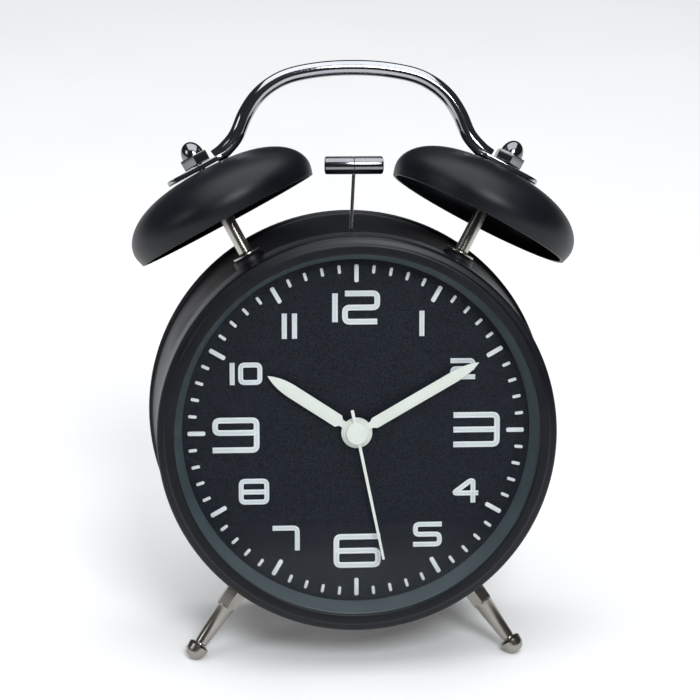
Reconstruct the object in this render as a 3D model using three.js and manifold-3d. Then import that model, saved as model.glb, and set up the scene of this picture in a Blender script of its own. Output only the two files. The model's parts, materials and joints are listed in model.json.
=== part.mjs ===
// Twin-bell quartz alarm clock, built as an assembly. Millimetres.
// Everything is drawn in the face frame: x to the right of the dial, y up the dial,
// z out of the dial towards the reader, with the dial's front face at z = 0.
// The finished clock is then leaned back onto its two ball feet and its rear rim.
import * as THREE from 'three';
import { mergeVertices } from 'three/addons/utils/BufferGeometryUtils.js';
import Module from 'manifold-3d';

const wasm = await Module();
wasm.setup();

// ---------------------------------------------------------------- driving dimensions
const GAP = 0.3; // left between two pieces that rest on each other
const RUN = 0.2; // radial clearance of a turning or sliding piece
const FINE = 36; // facets round a large piece
const DOME = 28; // facets round a bell
const MID = 14; // facets round a knob or a post
const SMALL = 8; // facets round a screw or a pin

// Case: a drum that flares towards the rear, with a bezel snapped over its front neck.
const BEZEL_R = 52.2;
const BEZEL_FRONT = 7.6;
const BEZEL_BACK = -3.5;
const BEZEL_WALL = 1;
const LIP_INSET = 4.8; // edge of the lip inside the bezel
const LIP_R = BEZEL_R - LIP_INSET;
const LIP_WALL = 0.9;
const DRUM_WALL = 0.9;
const DRUM_FLARE = 2; // rear of the drum outside the bezel
const DRUM_REAR_R = BEZEL_R + DRUM_FLARE;
const DRUM_BACK = -35.6;
const RIM_PROUD = 0.8;
const RIM_R = DRUM_REAR_R + RIM_PROUD;
const RIM_DEPTH = 2.6;
const NECK_BACK = -3.8;

// Dial stack behind the bezel lip.
const LENS_WALL = 1.5;
const DIAL_WALL = 1;
const WINDOW_INSET = 6.8;
const DIAL_WINDOW_R = BEZEL_R - WINDOW_INSET; // dial seen inside the sloping ring
const EMBOSS = 0.4; // height of the raised numerals and ticks
const FRAME_WALL = 2;

// Dial printing.
const TICK_MARGIN = 1.3; // between the ticks and the sloping ring
const TICK_OUTER_R = DIAL_WINDOW_R - TICK_MARGIN;
const HOUR_TICK = { length: 4.66, width: 1.15 };
const MINUTE_TICK = { length: 2.2, width: 0.8 };
const LARGE_PEN = 1.5;
const SMALL_PEN = 1.3;
const DIGIT_SPACE = 1.1; // between a leading 1 and the next digit

// Hands. Angles are degrees clockwise from twelve.
const HAND_WALL = 0.35;
const HAND_STEP = 0.7; // pitch of the hand stack, front to front
const ALARM_HAND = { length: 20, width: 2.4, hub: 3.4, angle: 303.4 };
const HOUR_HAND = { length: 27.8, width: 3.5, hub: 4.05, angle: 303.4 };
const MINUTE_HAND = { length: 36.8, width: 3, hub: 3.6, angle: 60 };
const SECOND_HAND = { length: 34.5, width: 0.85, tail: 6.4, hub: 3, angle: 168.3 };
const HAND_NECK = 1.8;
const HAND_TIP = 7.2;

// Coaxial arbors, from the inside out: each one is a tube round the one before.
const SECOND_ARBOR_R = 0.5;
const TUBE_WALL = 0.45;

// Movement: a plastic box behind the dial with the wheels in layers.
const BOX_SIDE = 56;
const BOX_CLEARANCE = 1.4; // between the movement's corners and the dial frame
const FRAME_INNER_R = BOX_SIDE / Math.SQRT2 + BOX_CLEARANCE;
const BOX_WALL = 1.2;
const BOX_DEPTH = 10;
const BOX_LID = 1.4;
const WHEEL_WALL = 1;
const LAYER = 1.5; // pitch of the wheel layers
const ARBOR_SPACING = 14; // dial centre to each setting arbor
const STEP_SPACING = 12; // dial centre to the step wheel
const ROTOR_SPACING = 9.8; // step wheel to the rotor
const ROTOR_SIDE = 9;
const TEETH = {
  cannon: 8, motion: 24, motionPinion: 8, hour: 32,
  alarm: 20, alarmPinion: 10, second: 30, stepPinion: 6, step: 36, rotor: 6,
};
const SHAFT_R = 1.5;
const ROTOR_R = 3.1;
const ROTOR_GAP = 0.5;
const ROTOR_DEPTH = 1.2;
const COIL_R = 3.1;

// Rear cover, battery bay and controls.
const COVER_WALL = 1.6;
const COVER_SUNK = 0.8; // rear cover inside the rim
const REAR_FACE = DRUM_BACK + COVER_SUNK;
const DOOR_WALL = 1.4;
const CELL_R = 7.25;
const CELL_LENGTH = 50.5;
const CELL_NUB = 1.3;
const BAY_WALL = 1;
const BAY_TOP = -8.5;
const BAY_LENGTH = 54.4;
const CONTACT_WALL = 0.5;
const KNOB_R = 6;
const KNOB_HEIGHT = 6.4;
const KNOB_STANDOFF = 1;
const SWITCH_AT = { x: 0, y: 24 };
const SWITCH_TRAVEL = 5;
const THUMB = { width: 7, height: 4.4, depth: 2.2 };
const PILLAR_R = 2.7;
const PILLAR_INSET = 5.8;
const PILLAR_RING = BEZEL_R - PILLAR_INSET;
const SCREW_R = 1.2;
const SCREW_HEAD_R = 2.5;
const SCREW_REACH = 7; // thread inside its pillar

// Bells on their posts.
const BELL_RIM_R = 25.25;
const BELL_MAX_R = 26.1;
const BELL_HEIGHT = 14.6;
const BELL_WALL = 0.9;
const BELL_TILT = 28.25; // outwards, degrees
const BELL_BACK_TILT = 6.8; // backwards, degrees
const BELL_STANDOFF = 11.5; // centre of a bell's rim outside the bezel
const BELL_RIM_RING = BEZEL_R + BELL_STANDOFF; // dial axis to the centre of a bell's rim
const BELL_POLAR = 31.1; // of that centre, degrees from twelve
const BELL_DEPTH = -11.4;
const POST_R = 1.8;
const STUD_R = 1.3;
const WASHER_R = 3.8;
const WASHER_WALL = 0.6;
const SEAT_R = 4.3; // pressed seat on the drum under a post or a leg
const LEG_SEAT_R = 3.4;
const SEAT_PROUD = 1.1;
const NUT_R = 3.4;
const NUT_HEIGHT = 2.4;
const CAP_NUT = { corner: 4.2, hex: 2.7, dome: 3, height: 6.6 };

// Handle: a round bar flattened into a strap under each cap nut.
const BAR_R = 2.1;
const STRAP = { wall: 1.2, width: 7.6, outer: 9.4, inner: 8.6 };
const ARCH_RISE = 30.3; // above the ring of the bells' rims
const ARCH_TOP = BELL_RIM_RING + ARCH_RISE;

// Hammer, worked by an electromagnet inside the case.
const HEAD = { length: 15.4, radius: 2.35, chamfer: 0.5 };
const HEAD_RISE = 5.2; // above the ring of the bells' rims
const HEAD_HEIGHT = BELL_RIM_RING + HEAD_RISE;
const HAMMER_DEPTH = -10;
const HAMMER_LEAN = 2.7; // of the wire at rest, degrees
const WIRE_R = 0.45;
const PIVOT_RISE = 6; // above the movement
const PIVOT_HEIGHT = BOX_SIDE / 2 + PIVOT_RISE;
const PIVOT_R = 1;
const PIVOT_HUB_R = 2.6;
const PIVOT_HUB_LENGTH = 4;
const HAMMER_SWING = 3.8;
const MAGNET_RISE = 6; // above the pivot
const MAGNET_HEIGHT = PIVOT_HEIGHT + MAGNET_RISE;
const MAGNET_R = 4.3;

// Legs.
const LEG_POLAR = 35.5; // degrees from six
const LEG_DEPTH = -7.5;
const LEG_RAKE = 8; // forwards, degrees
const LEG_HEX = { corner: 3.1, length: 6.6 };
const LEG_CONE = { top: 2.5, bottom: 1.65, length: 12 };
const FOOT_R = 2.85;
const FOOT_SPHERE_R = 2.65;
const FLAT = 0.35; // worn flat where a foot or the rim meets the table

// ---------------------------------------------------------------- derived places
const drumInner = BEZEL_R - BEZEL_WALL - GAP - DRUM_WALL;
const drumFront = BEZEL_FRONT - LIP_WALL - GAP;
const stackR = drumInner - GAP;
const lensFront = BEZEL_FRONT - LIP_WALL - GAP;
const lensBack = lensFront - LENS_WALL;
const ringFront = lensBack - GAP;
const frameFront = -DIAL_WALL - GAP;
const frameBack = frameFront - FRAME_WALL;
const boxFront = frameFront;
const boxBack = boxFront - BOX_DEPTH;
const lidFront = boxBack - GAP;
const lidBack = lidFront - BOX_LID;
const layerTop = (n) => boxFront - BOX_WALL - 0.4 - n * LAYER;
const minuteTube = tubeAround(SECOND_ARBOR_R);
const hourTube = tubeAround(minuteTube.outer);
const alarmTube = tubeAround(hourTube.outer);
const alarmHandFront = EMBOSS + GAP + HAND_WALL;
const hourHandFront = alarmHandFront + HAND_STEP;
const minuteHandFront = hourHandFront + HAND_STEP;
const secondHandFront = minuteHandFront + HAND_STEP;
const coverInner = REAR_FACE + COVER_WALL;
const coverR = RIM_R - (RIM_R - DRUM_REAR_R) - DRUM_WALL - GAP;
const doorInner = REAR_FACE + DOOR_WALL;
const cellAxis = doorInner + GAP + CELL_R;
const bayFloor = cellAxis + CELL_R + GAP + BAY_WALL;
const upperCell = BAY_TOP - GAP - CELL_R;
const lowerCell = upperCell - 2 * CELL_R - GAP;
const bayBottom = lowerCell - CELL_R - GAP;
const bay = { left: -BAY_LENGTH / 2, right: BAY_LENGTH / 2, top: BAY_TOP, bottom: bayBottom };
const pillars = [90, 180, 270].map((angle) => polar(angle, PILLAR_RING));
const motionAt = new THREE.Vector2(ARBOR_SPACING, 0);
const alarmSetAt = new THREE.Vector2(-ARBOR_SPACING, 0);
const stepAt = new THREE.Vector2(0, STEP_SPACING);
const rotorRise = Math.sqrt(ROTOR_SPACING ** 2 - ROTOR_SIDE ** 2);
const rotorAt = new THREE.Vector2(-ROTOR_SIDE, STEP_SPACING + rotorRise);
const modules = {
  minute: (2 * ARBOR_SPACING) / (TEETH.cannon + TEETH.motion),
  hour: (2 * ARBOR_SPACING) / (TEETH.motionPinion + TEETH.hour),
  alarm: (2 * ARBOR_SPACING) / (TEETH.alarm + TEETH.alarmPinion),
  second: (2 * STEP_SPACING) / (TEETH.second + TEETH.stepPinion),
  step: (2 * ROTOR_SPACING) / (TEETH.step + TEETH.rotor),
};
const bellUp = [-1, 1].map((side) => direction(side, BELL_TILT, -BELL_BACK_TILT));
const bellRims = [-1, 1].map((side) => {
  const at = polar(side * BELL_POLAR, BELL_RIM_RING);
  return new THREE.Vector3(at.x, at.y, BELL_DEPTH);
});
const bellTop = BELL_HEIGHT; // along the post axis, from the rim plane
const strapBase = bellTop + GAP;
const nutBase = strapBase + STRAP.wall + GAP;
const legDown = [-1, 1].map((side) => direction(side, 180 - LEG_POLAR, LEG_RAKE));
const legRoots = [-1, 1].map((side) => {
  const at = polar(side * (180 - LEG_POLAR), drumOuter(LEG_DEPTH));
  return new THREE.Vector3(at.x, at.y, LEG_DEPTH);
});
const legShoulder = SEAT_PROUD + GAP;
const footCentre = legShoulder + LEG_HEX.length + LEG_CONE.length + FOOT_SPHERE_R * 0.75;
const foot = legRoots[1].clone().addScaledVector(legDown[1], footCentre);
const lean = leanAngle(foot);
const tableLevel = -RIM_R * Math.cos(lean) + DRUM_BACK * Math.sin(lean) + FLAT;
const standing = new THREE.Matrix4().makeRotationX(Math.PI / 2 - lean);
const headSide = 0;
const wireLength = (HEAD_HEIGHT - PIVOT_HEIGHT) / Math.cos(rad(HAMMER_LEAN));
const pivotSide = headSide - wireLength * Math.sin(rad(HAMMER_LEAN));

// ---------------------------------------------------------------- helpers
function rad(degrees) {
  return (degrees * Math.PI) / 180;
}

/** Point on the dial plane, an angle clockwise from twelve and a radius. */
function polar(degrees, radius) {
  return new THREE.Vector2(Math.sin(rad(degrees)) * radius, Math.cos(rad(degrees)) * radius);
}

/** Unit vector tilted sideways from twelve and then towards the reader. */
function direction(side, sideways, forwards) {
  const flat = Math.cos(rad(forwards));
  const across = Math.sin(rad(sideways)) * side * flat;
  return new THREE.Vector3(across, Math.cos(rad(sideways)) * flat, Math.sin(rad(forwards)));
}

/** Inner and outer radius of the tube that turns round a shaft. */
function tubeAround(radius) {
  return { inner: radius + RUN, outer: radius + RUN + TUBE_WALL };
}

/** Outer radius of the drum at a depth. */
function drumOuter(z) {
  const neck = drumInner + DRUM_WALL;
  const share = THREE.MathUtils.clamp((NECK_BACK - z) / (NECK_BACK - DRUM_BACK - RIM_DEPTH), 0, 1);
  return neck + (DRUM_REAR_R - neck) * share;
}

/** Angle that brings the ball feet and the bottom of the rear rim onto one table. */
function leanAngle(footAt) {
  const drop = footAt.y + RIM_R;
  const reach = footAt.z - DRUM_BACK;
  return Math.asin(FOOT_SPHERE_R / Math.hypot(drop, reach)) + Math.atan2(-drop, reach);
}

/** Frame with its z along a direction and its y leaning towards the rear. */
function frameAlong(origin, along) {
  const z = along.clone().normalize();
  const x = new THREE.Vector3(0, 0, -1).cross(z).normalize();
  const y = z.clone().cross(x);
  return new THREE.Matrix4().makeBasis(x, y, z).setPosition(origin);
}

/** Closed solid from a three.js geometry, placed by an optional matrix. */
function solid(geometry, matrix = new THREE.Matrix4()) {
  const bare = geometry.clone().applyMatrix4(matrix);
  bare.deleteAttribute('normal');
  bare.deleteAttribute('uv');
  const merged = mergeVertices(bare, 1e-4);
  const position = merged.getAttribute('position');
  const corner = (i) => new THREE.Vector3().fromBufferAttribute(position, i);
  const index = Array.from(merged.index.array);
  const faces = [];
  let volume = 0;
  for (let i = 0; i < index.length; i += 3) {
    const [a, b, c] = index.slice(i, i + 3);
    if (a === b || b === c || a === c) continue;
    volume += corner(a).dot(corner(b).cross(corner(c)));
    faces.push([a, b, c]);
  }
  if (volume < 0) faces.forEach((face) => face.reverse());
  const mesh = new wasm.Mesh({
    numProp: 3,
    vertProperties: new Float32Array(position.array),
    triVerts: new Uint32Array(faces.flat()),
  });
  return new wasm.Manifold(mesh);
}

function united(...pieces) {
  return pieces.reduce((whole, piece) => whole.add(piece));
}

function without(body, ...cuts) {
  return cuts.reduce((whole, cut) => whole.subtract(cut), body);
}

/** Solid of revolution about z from [radius, z] points. */
function spun(profile, facets = FINE, matrix) {
  const points = profile.map(([radius, z]) => new THREE.Vector2(radius, z));
  const geometry = new THREE.LatheGeometry(points, facets).rotateX(Math.PI / 2);
  return solid(geometry, matrix);
}

/** Ring of revolution whose profile closes on itself. */
function ring(profile, facets = FINE, matrix) {
  return spun([...profile, profile[0]], facets, matrix);
}

function rod(radius, z0, z1, facets = SMALL, matrix) {
  const [low, high] = z0 < z1 ? [z0, z1] : [z1, z0];
  return spun([[0, low], [radius, low], [radius, high], [0, high]], facets, matrix);
}

function rodAt(at, radius, z0, z1, facets = SMALL) {
  return rod(radius, z0, z1, facets, new THREE.Matrix4().makeTranslation(at.x, at.y, 0));
}

/** Block between two corners. */
function block(x0, x1, y0, y1, z0, z1, matrix) {
  const geometry = new THREE.BoxGeometry(x1 - x0, y1 - y0, z1 - z0);
  geometry.translate((x0 + x1) / 2, (y0 + y1) / 2, (z0 + z1) / 2);
  return solid(geometry, matrix);
}

/** Flat plate with an outline, between two depths. */
function plate(shape, z0, z1, matrix, curveSegments = 4) {
  const settings = { depth: Math.abs(z1 - z0), bevelEnabled: false, curveSegments };
  const geometry = new THREE.ExtrudeGeometry(shape, settings).translate(0, 0, Math.min(z0, z1));
  return solid(geometry, matrix);
}

/** Outline with rounded corners. */
function roundedBox(width, height, radius) {
  const shape = new THREE.Shape();
  const x = width / 2 - radius;
  const y = height / 2 - radius;
  shape.absarc(x, y, radius, 0, Math.PI / 2);
  shape.absarc(-x, y, radius, Math.PI / 2, Math.PI);
  shape.absarc(-x, -y, radius, Math.PI, Math.PI * 1.5);
  shape.absarc(x, -y, radius, Math.PI * 1.5, Math.PI * 2);
  return shape;
}

function hexagon(corner) {
  const points = [0, 1, 2, 3, 4, 5].map((i) => polar(60 * i, corner));
  return new THREE.Shape(points);
}

/** Gear outline with one tooth centred on an angle; backlash is cut from both flanks. */
function gearShape(teeth, module, toothAngle) {
  const pitch = (2 * Math.PI) / teeth;
  const root = module * (teeth / 2 - 1.15);
  const tip = module * (teeth / 2 + 0.85);
  const points = [];
  for (let i = 0; i < teeth; i += 1) {
    const middle = toothAngle + i * pitch;
    const corners = [[-0.27, root], [-0.11, tip], [0.11, tip], [0.27, root]];
    for (const [share, radius] of corners) {
      const angle = middle + share * pitch;
      points.push(new THREE.Vector2(Math.cos(angle) * radius, Math.sin(angle) * radius));
    }
  }
  return new THREE.Shape(points);
}

/** Pair of gear outlines in mesh: the second one stands at an angle from the first. */
function meshedPair(teethA, teethB, module, angle) {
  const gapAngle = angle + Math.PI + Math.PI / teethB;
  return [gearShape(teethA, module, angle), gearShape(teethB, module, gapAngle)];
}

/** Raised line of even width along straight chords, with round outer corners. */
function stroke(points, width, loop) {
  const base = -DIAL_WALL / 2;
  const chords = points.slice(1).map((end, i) => [points[i], end]);
  if (loop) chords.push([points.at(-1), points[0]]);
  const bars = chords.map(([start, end]) => {
    const run = end.clone().sub(start);
    const place = new THREE.Matrix4().makeRotationZ(run.angle()).setPosition(start.x, start.y, 0);
    return block(0, run.length(), -width / 2, width / 2, base, EMBOSS, place);
  });
  const corners = loop ? points : points.slice(1, -1);
  const elbows = corners.map((at) => rodAt(at, width / 2, base, EMBOSS, 6));
  return united(...bars, ...elbows);
}

/** Named mesh with its own finish, from a solid. */
function piece(name, body, colour, roughness, metalness, place) {
  const mesh = body.getMesh();
  const geometry = new THREE.BufferGeometry();
  geometry.setAttribute('position', new THREE.BufferAttribute(mesh.vertProperties, 3));
  geometry.setIndex(new THREE.BufferAttribute(mesh.triVerts, 1));
  geometry.computeVertexNormals();
  const material = new THREE.MeshStandardMaterial({ color: colour, roughness, metalness });
  const result = new THREE.Mesh(geometry, material);
  result.name = name;
  if (place) place.decompose(result.position, result.quaternion, result.scale);
  return result;
}

const black = (name, body, place) => piece(name, body, 0x15171b, 0.5, 0.1, place);
const plastic = (name, body, place) => piece(name, body, 0x1b1c1f, 0.6, 0, place);
const ivory = (name, body, place) => piece(name, body, 0xe4e6dd, 0.5, 0, place);
const nylon = (name, body, place) => piece(name, body, 0xd9d6c8, 0.5, 0, place);
const nickel = (name, body, place) => piece(name, body, 0xb9b7b1, 0.25, 1, place);
const chrome = (name, body, place) => piece(name, body, 0xcfd2d4, 0.12, 1, place);
const steel = (name, body, place) => piece(name, body, 0x8f9294, 0.4, 1, place);
const copper = (name, body, place) => piece(name, body, 0xb0653a, 0.4, 1, place);

// ---------------------------------------------------------------- case
/** Everything below the table top, in the face frame. */
function underTable() {
  const matrix = standing.clone().invert().multiply(
    new THREE.Matrix4().makeTranslation(0, 0, tableLevel),
  );
  return block(-100, 100, -100, 100, -50, 0, matrix);
}

/** Pressed seat square to a post or a leg, open to the inside of the drum. */
function seat(frame, radius) {
  return rod(radius, -3, SEAT_PROUD, MID, frame);
}

function postFrame(side) {
  return frameAlong(postRoot(side), bellUp[side]);
}

/** Where a post's axis meets the drum. */
function postRoot(side) {
  let low = 0;
  let high = BELL_RIM_RING;
  const at = (t) => bellRims[side].clone().addScaledVector(bellUp[side], -t);
  for (let i = 0; i < 40; i += 1) {
    const middle = (low + high) / 2;
    const point = at(middle);
    if (Math.hypot(point.x, point.y) > drumOuter(point.z)) low = middle;
    else high = middle;
  }
  return at(low);
}

const postFrames = [postFrame(0), postFrame(1)];
const postReach = bellRims[1].distanceTo(postRoot(1)); // drum to the bell's rim plane
const legFrames = [frameAlong(legRoots[0], legDown[0]), frameAlong(legRoots[1], legDown[1])];

function caseDrum() {
  const neck = drumInner + DRUM_WALL;
  const rearInner = DRUM_REAR_R - DRUM_WALL;
  const rimFront = DRUM_BACK + RIM_DEPTH;
  const inside = [[drumInner, drumFront], [drumInner, NECK_BACK], [rearInner, rimFront]];
  const shell = ring([
    ...inside,
    [rearInner, DRUM_BACK],
    [RIM_R - 0.6, DRUM_BACK],
    [RIM_R, DRUM_BACK + 0.6],
    [RIM_R, rimFront - 0.5],
    [DRUM_REAR_R, rimFront],
    [neck, NECK_BACK],
    [neck, drumFront],
  ]);
  const hollow = spun([[0, drumFront], ...inside, [0, rimFront]]);
  const seats = without(united(
    ...postFrames.map((frame) => seat(frame, SEAT_R)),
    ...legFrames.map((frame) => seat(frame, LEG_SEAT_R)),
  ), hollow);
  const holes = [...postFrames, ...legFrames].map((frame) => rod(STUD_R + GAP, -5, 5, SMALL, frame));
  const sweep = Math.tan(rad(HAMMER_SWING + 1)) * (drumInner - PIVOT_HEIGHT) + WIRE_R;
  const slotMiddle = pivotSide + Math.tan(rad(HAMMER_LEAN)) * (drumInner - PIVOT_HEIGHT);
  const slotDepth = WIRE_R + 0.9;
  const slot = block(
    slotMiddle - sweep, slotMiddle + sweep, drumInner - 3, drumInner + 6,
    HAMMER_DEPTH - slotDepth, HAMMER_DEPTH + slotDepth,
  );
  return black('case_drum', without(united(shell, seats), ...holes, slot, underTable()));
}

function bezel() {
  const inner = BEZEL_R - BEZEL_WALL;
  const lipBack = BEZEL_FRONT - LIP_WALL;
  return black('bezel', ring([
    [LIP_R, lipBack],
    [LIP_R, BEZEL_FRONT - 0.3],
    [LIP_R + 0.4, BEZEL_FRONT],
    [LIP_R + 2.3, BEZEL_FRONT],
    [LIP_R + 2.7, BEZEL_FRONT - 0.4],
    [BEZEL_R - 0.8, BEZEL_FRONT - 0.9],
    [BEZEL_R - 0.2, BEZEL_FRONT - 1.6],
    [BEZEL_R, BEZEL_FRONT - 2.6],
    [BEZEL_R, BEZEL_BACK],
    [inner, BEZEL_BACK],
    [inner, lipBack],
  ]));
}

function lens() {
  return piece('lens', rod(stackR, lensBack, lensFront, FINE), 0xdfe8ea, 0.05, 0);
}

function rehautRing() {
  const body = ring([
    [DIAL_WINDOW_R, GAP],
    [stackR, GAP],
    [stackR, ringFront],
    [LIP_R + 0.3, ringFront],
    [DIAL_WINDOW_R, GAP + 0.4],
  ]);
  return piece('rehaut_ring', body, 0x4a5459, 0.45, 0.2);
}

// ---------------------------------------------------------------- dial
// Centre lines of the digits in a unit cell; loops close on themselves.
const DIGITS = {
  0: [{ loop: true, line: [[0, 0], [1, 0], [1, 1], [0, 1]] }],
  1: [{ line: [[0, 0], [0, 1]] }],
  2: [{ line: [[0, 1], [1, 1], [1, 0.5], [0, 0.5], [0, 0], [1, 0]] }],
  3: [{ line: [[0, 1], [1, 1], [1, 0], [0, 0]] }, { line: [[0, 0.5], [1, 0.5]] }],
  4: [
    { loop: true, line: [[0, 0.37], [0.85, 0.37], [0.85, 1]] },
    { line: [[0.85, 1], [0.85, 0]] },
    { line: [[0, 0.37], [1, 0.37]] },
  ],
  5: [{ line: [[1, 1], [0, 1], [0, 0.5], [1, 0.5], [1, 0], [0, 0]] }],
  6: [{ loop: true, line: [[0, 0], [1, 0], [1, 0.5], [0, 0.5]] }, { line: [[0, 0.25], [0, 1], [1, 1]] }],
  7: [{ line: [[0, 1], [1, 1], [1, 0]] }],
  8: [{ loop: true, line: [[0, 0], [1, 0], [1, 1], [0, 1]] }, { line: [[0, 0.5], [1, 0.5]] }],
  9: [{ loop: true, line: [[0, 0.5], [1, 0.5], [1, 1], [0, 1]] }, { line: [[1, 0.75], [1, 0], [0, 0]] }],
};

// Where each numeral's middle stands on the dial, and its outer width and height.
const NUMERALS = [
  { text: '12', x: -0.1, y: 32.8, width: 12.6, height: 9, pen: LARGE_PEN },
  { text: '1', x: 17, y: 28.5, width: 1.4, height: 6.8, pen: SMALL_PEN },
  { text: '2', x: 27.8, y: 16.4, width: 6.7, height: 6, pen: SMALL_PEN },
  { text: '3', x: 31.6, y: 0.2, width: 12.4, height: 9.4, pen: LARGE_PEN },
  { text: '4', x: 28.6, y: -16.2, width: 7.4, height: 6.5, pen: SMALL_PEN },
  { text: '5', x: 18.8, y: -27.9, width: 7.8, height: 6.7, pen: SMALL_PEN },
  { text: '6', x: 0.2, y: -32, width: 12.6, height: 9.2, pen: LARGE_PEN },
  { text: '7', x: -18.6, y: -28.2, width: 7.3, height: 6.7, pen: SMALL_PEN },
  { text: '8', x: -26.9, y: -15.7, width: 8, height: 6.9, pen: SMALL_PEN },
  { text: '9', x: -31.5, y: -0.5, width: 12.4, height: 9.5, pen: LARGE_PEN },
  { text: '10', x: -28.7, y: 15.7, width: 8.4, height: 6, pen: SMALL_PEN },
  { text: '11', x: -17.4, y: 28.1, width: 4.1, height: 6.8, pen: SMALL_PEN },
];

/** Raised solids of one numeral. */
function numeral({ text, x, y, width, height, pen }) {
  const bottom = y - height / 2 + pen / 2;
  const tall = height - pen;
  let left = x - width / 2 + pen / 2;
  const right = x + width / 2 - pen / 2;
  const strokes = [];
  [...text].forEach((digit, i) => {
    const leading = i < text.length - 1;
    const wide = leading ? 0 : right - left;
    for (const { line, loop } of DIGITS[digit]) {
      const points = line.map(([u, v]) => new THREE.Vector2(left + u * wide, bottom + v * tall));
      strokes.push(stroke(points, pen, loop));
    }
    left += pen + DIGIT_SPACE;
  });
  return strokes;
}

function tick(minute) {
  const { length, width } = minute % 5 === 0 ? HOUR_TICK : MINUTE_TICK;
  const outer = polar(minute * 6, TICK_OUTER_R);
  const inner = polar(minute * 6, TICK_OUTER_R - length);
  return stroke([inner, outer], width, false);
}

function dial() {
  const disc = rod(stackR, -DIAL_WALL, 0, FINE);
  const marks = Array.from({ length: 60 }, (_, minute) => tick(minute));
  const figures = NUMERALS.flatMap(numeral);
  const hole = rod(alarmTube.outer + GAP, -5, 5, SMALL);
  return piece('dial', without(united(disc, ...marks, ...figures), hole), 0x1a1c22, 0.7, 0);
}

function dialFrame() {
  const body = ring([
    [FRAME_INNER_R, frameBack],
    [stackR, frameBack],
    [stackR, frameFront],
    [FRAME_INNER_R, frameFront],
  ]);
  const posts = pillars.map((at) => rodAt(at, PILLAR_R, frameFront - 0.5, coverInner + GAP));
  const holeEnd = coverInner + SCREW_REACH + 1;
  const screwHoles = pillars.map((at) => rodAt(at, SCREW_R + GAP, holeEnd, coverInner - 1));
  const earHoles = [-1, 1].map((side) => rodAt({ x: side * 43, y: 8 }, 0.9, frameFront - 1.2, -10, 8));
  return plastic('dial_frame', without(united(body, ...posts), ...screwHoles, ...earHoles));
}

// ---------------------------------------------------------------- hands
/** Blade that widens from a neck at the hub and closes in a pointed arch. */
function handBlade({ length, width, hub }) {
  const half = width / 2;
  const neck = Math.min(HAND_NECK, width) / 2;
  const start = hub * 0.8;
  const shape = new THREE.Shape();
  shape.moveTo(-neck, start);
  shape.lineTo(-neck, hub + 1);
  shape.lineTo(-half, hub + 1.8);
  shape.lineTo(-half, length - HAND_TIP);
  shape.quadraticCurveTo(-half, length - HAND_TIP / 2, 0, length);
  shape.quadraticCurveTo(half, length - HAND_TIP / 2, half, length - HAND_TIP);
  shape.lineTo(half, hub + 1.8);
  shape.lineTo(neck, hub + 1);
  shape.lineTo(neck, start);
  return shape;
}

function hand(name, size, front, tube, paint) {
  const back = front - HAND_WALL;
  const hub = rod(size.hub, back, front, MID);
  const body = without(
    united(hub, plate(handBlade(size), back, front)),
    rod(tube + RUN, back - 1, front + 1, SMALL),
  );
  const turn = new THREE.Matrix4().makeRotationZ(-rad(size.angle));
  return paint(name, body, turn);
}

function secondHand() {
  const { length, width, tail, hub, angle } = SECOND_HAND;
  const front = secondHandFront;
  const back = front - HAND_WALL;
  const needle = block(-width / 2, width / 2, -tail, length, back, front);
  const cap = spun([
    [0, back], [hub, back], [hub, front], [hub - 0.5, front + 0.45], [0, front + 0.55],
  ], MID);
  const socket = rod(SECOND_ARBOR_R + RUN, back - 1, front + 0.1, SMALL);
  const turn = new THREE.Matrix4().makeRotationZ(-rad(angle));
  return ivory('second_hand', without(united(needle, cap), socket), turn);
}

// ---------------------------------------------------------------- movement
function boxOutline(side) {
  return roundedBox(side, side, 2);
}

function movementHousing() {
  const shell = plate(boxOutline(BOX_SIDE), boxBack, boxFront);
  const hollow = plate(boxOutline(BOX_SIDE - 2 * BOX_WALL), boxBack - 1, boxFront - BOX_WALL);
  const earBack = frameBack - GAP - 1.5;
  const ears = [-1, 1].map((side) => {
    const x = [side * (BOX_SIDE / 2 - 1), side * 45.4].sort((a, b) => a - b);
    return block(x[0], x[1], 5, 11, earBack, frameBack - GAP);
  });
  const earHoles = [-1, 1].map((side) => rodAt({ x: side * 43, y: 8 }, 1.1, -2, -9, 8));
  const bore = rod(alarmTube.outer + GAP, boxFront - 5, boxFront + 5, SMALL);
  return nylon('movement_housing', without(united(without(shell, hollow), ...ears), ...earHoles, bore));
}

function movementScrews() {
  const headFront = frameBack - 2 * GAP - 1.5;
  return [-1, 1].map((side) => {
    const at = new THREE.Matrix4().makeTranslation(side * 43, 8, 0);
    const body = spun([
      [0, headFront - 1], [1.7, headFront - 1], [1.7, headFront], [0.7, headFront],
      [0.7, frameFront - 1.6], [0, frameFront - 1.6],
    ], SMALL);
    return steel(side < 0 ? 'movement_screw_left' : 'movement_screw_right', body, at);
  });
}

function movementCover() {
  const lid = plate(boxOutline(BOX_SIDE), lidBack, lidFront);
  const holes = [motionAt, alarmSetAt].map((at) => rodAt(at, SHAFT_R + GAP, lidBack - 1, lidFront + 1));
  return nylon('movement_cover', without(lid, ...holes));
}

function gear(shape, layer, at = new THREE.Vector2()) {
  const place = new THREE.Matrix4().makeTranslation(at.x, at.y, 0);
  return plate(shape, layerTop(layer) - WHEEL_WALL, layerTop(layer), place);
}

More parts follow.
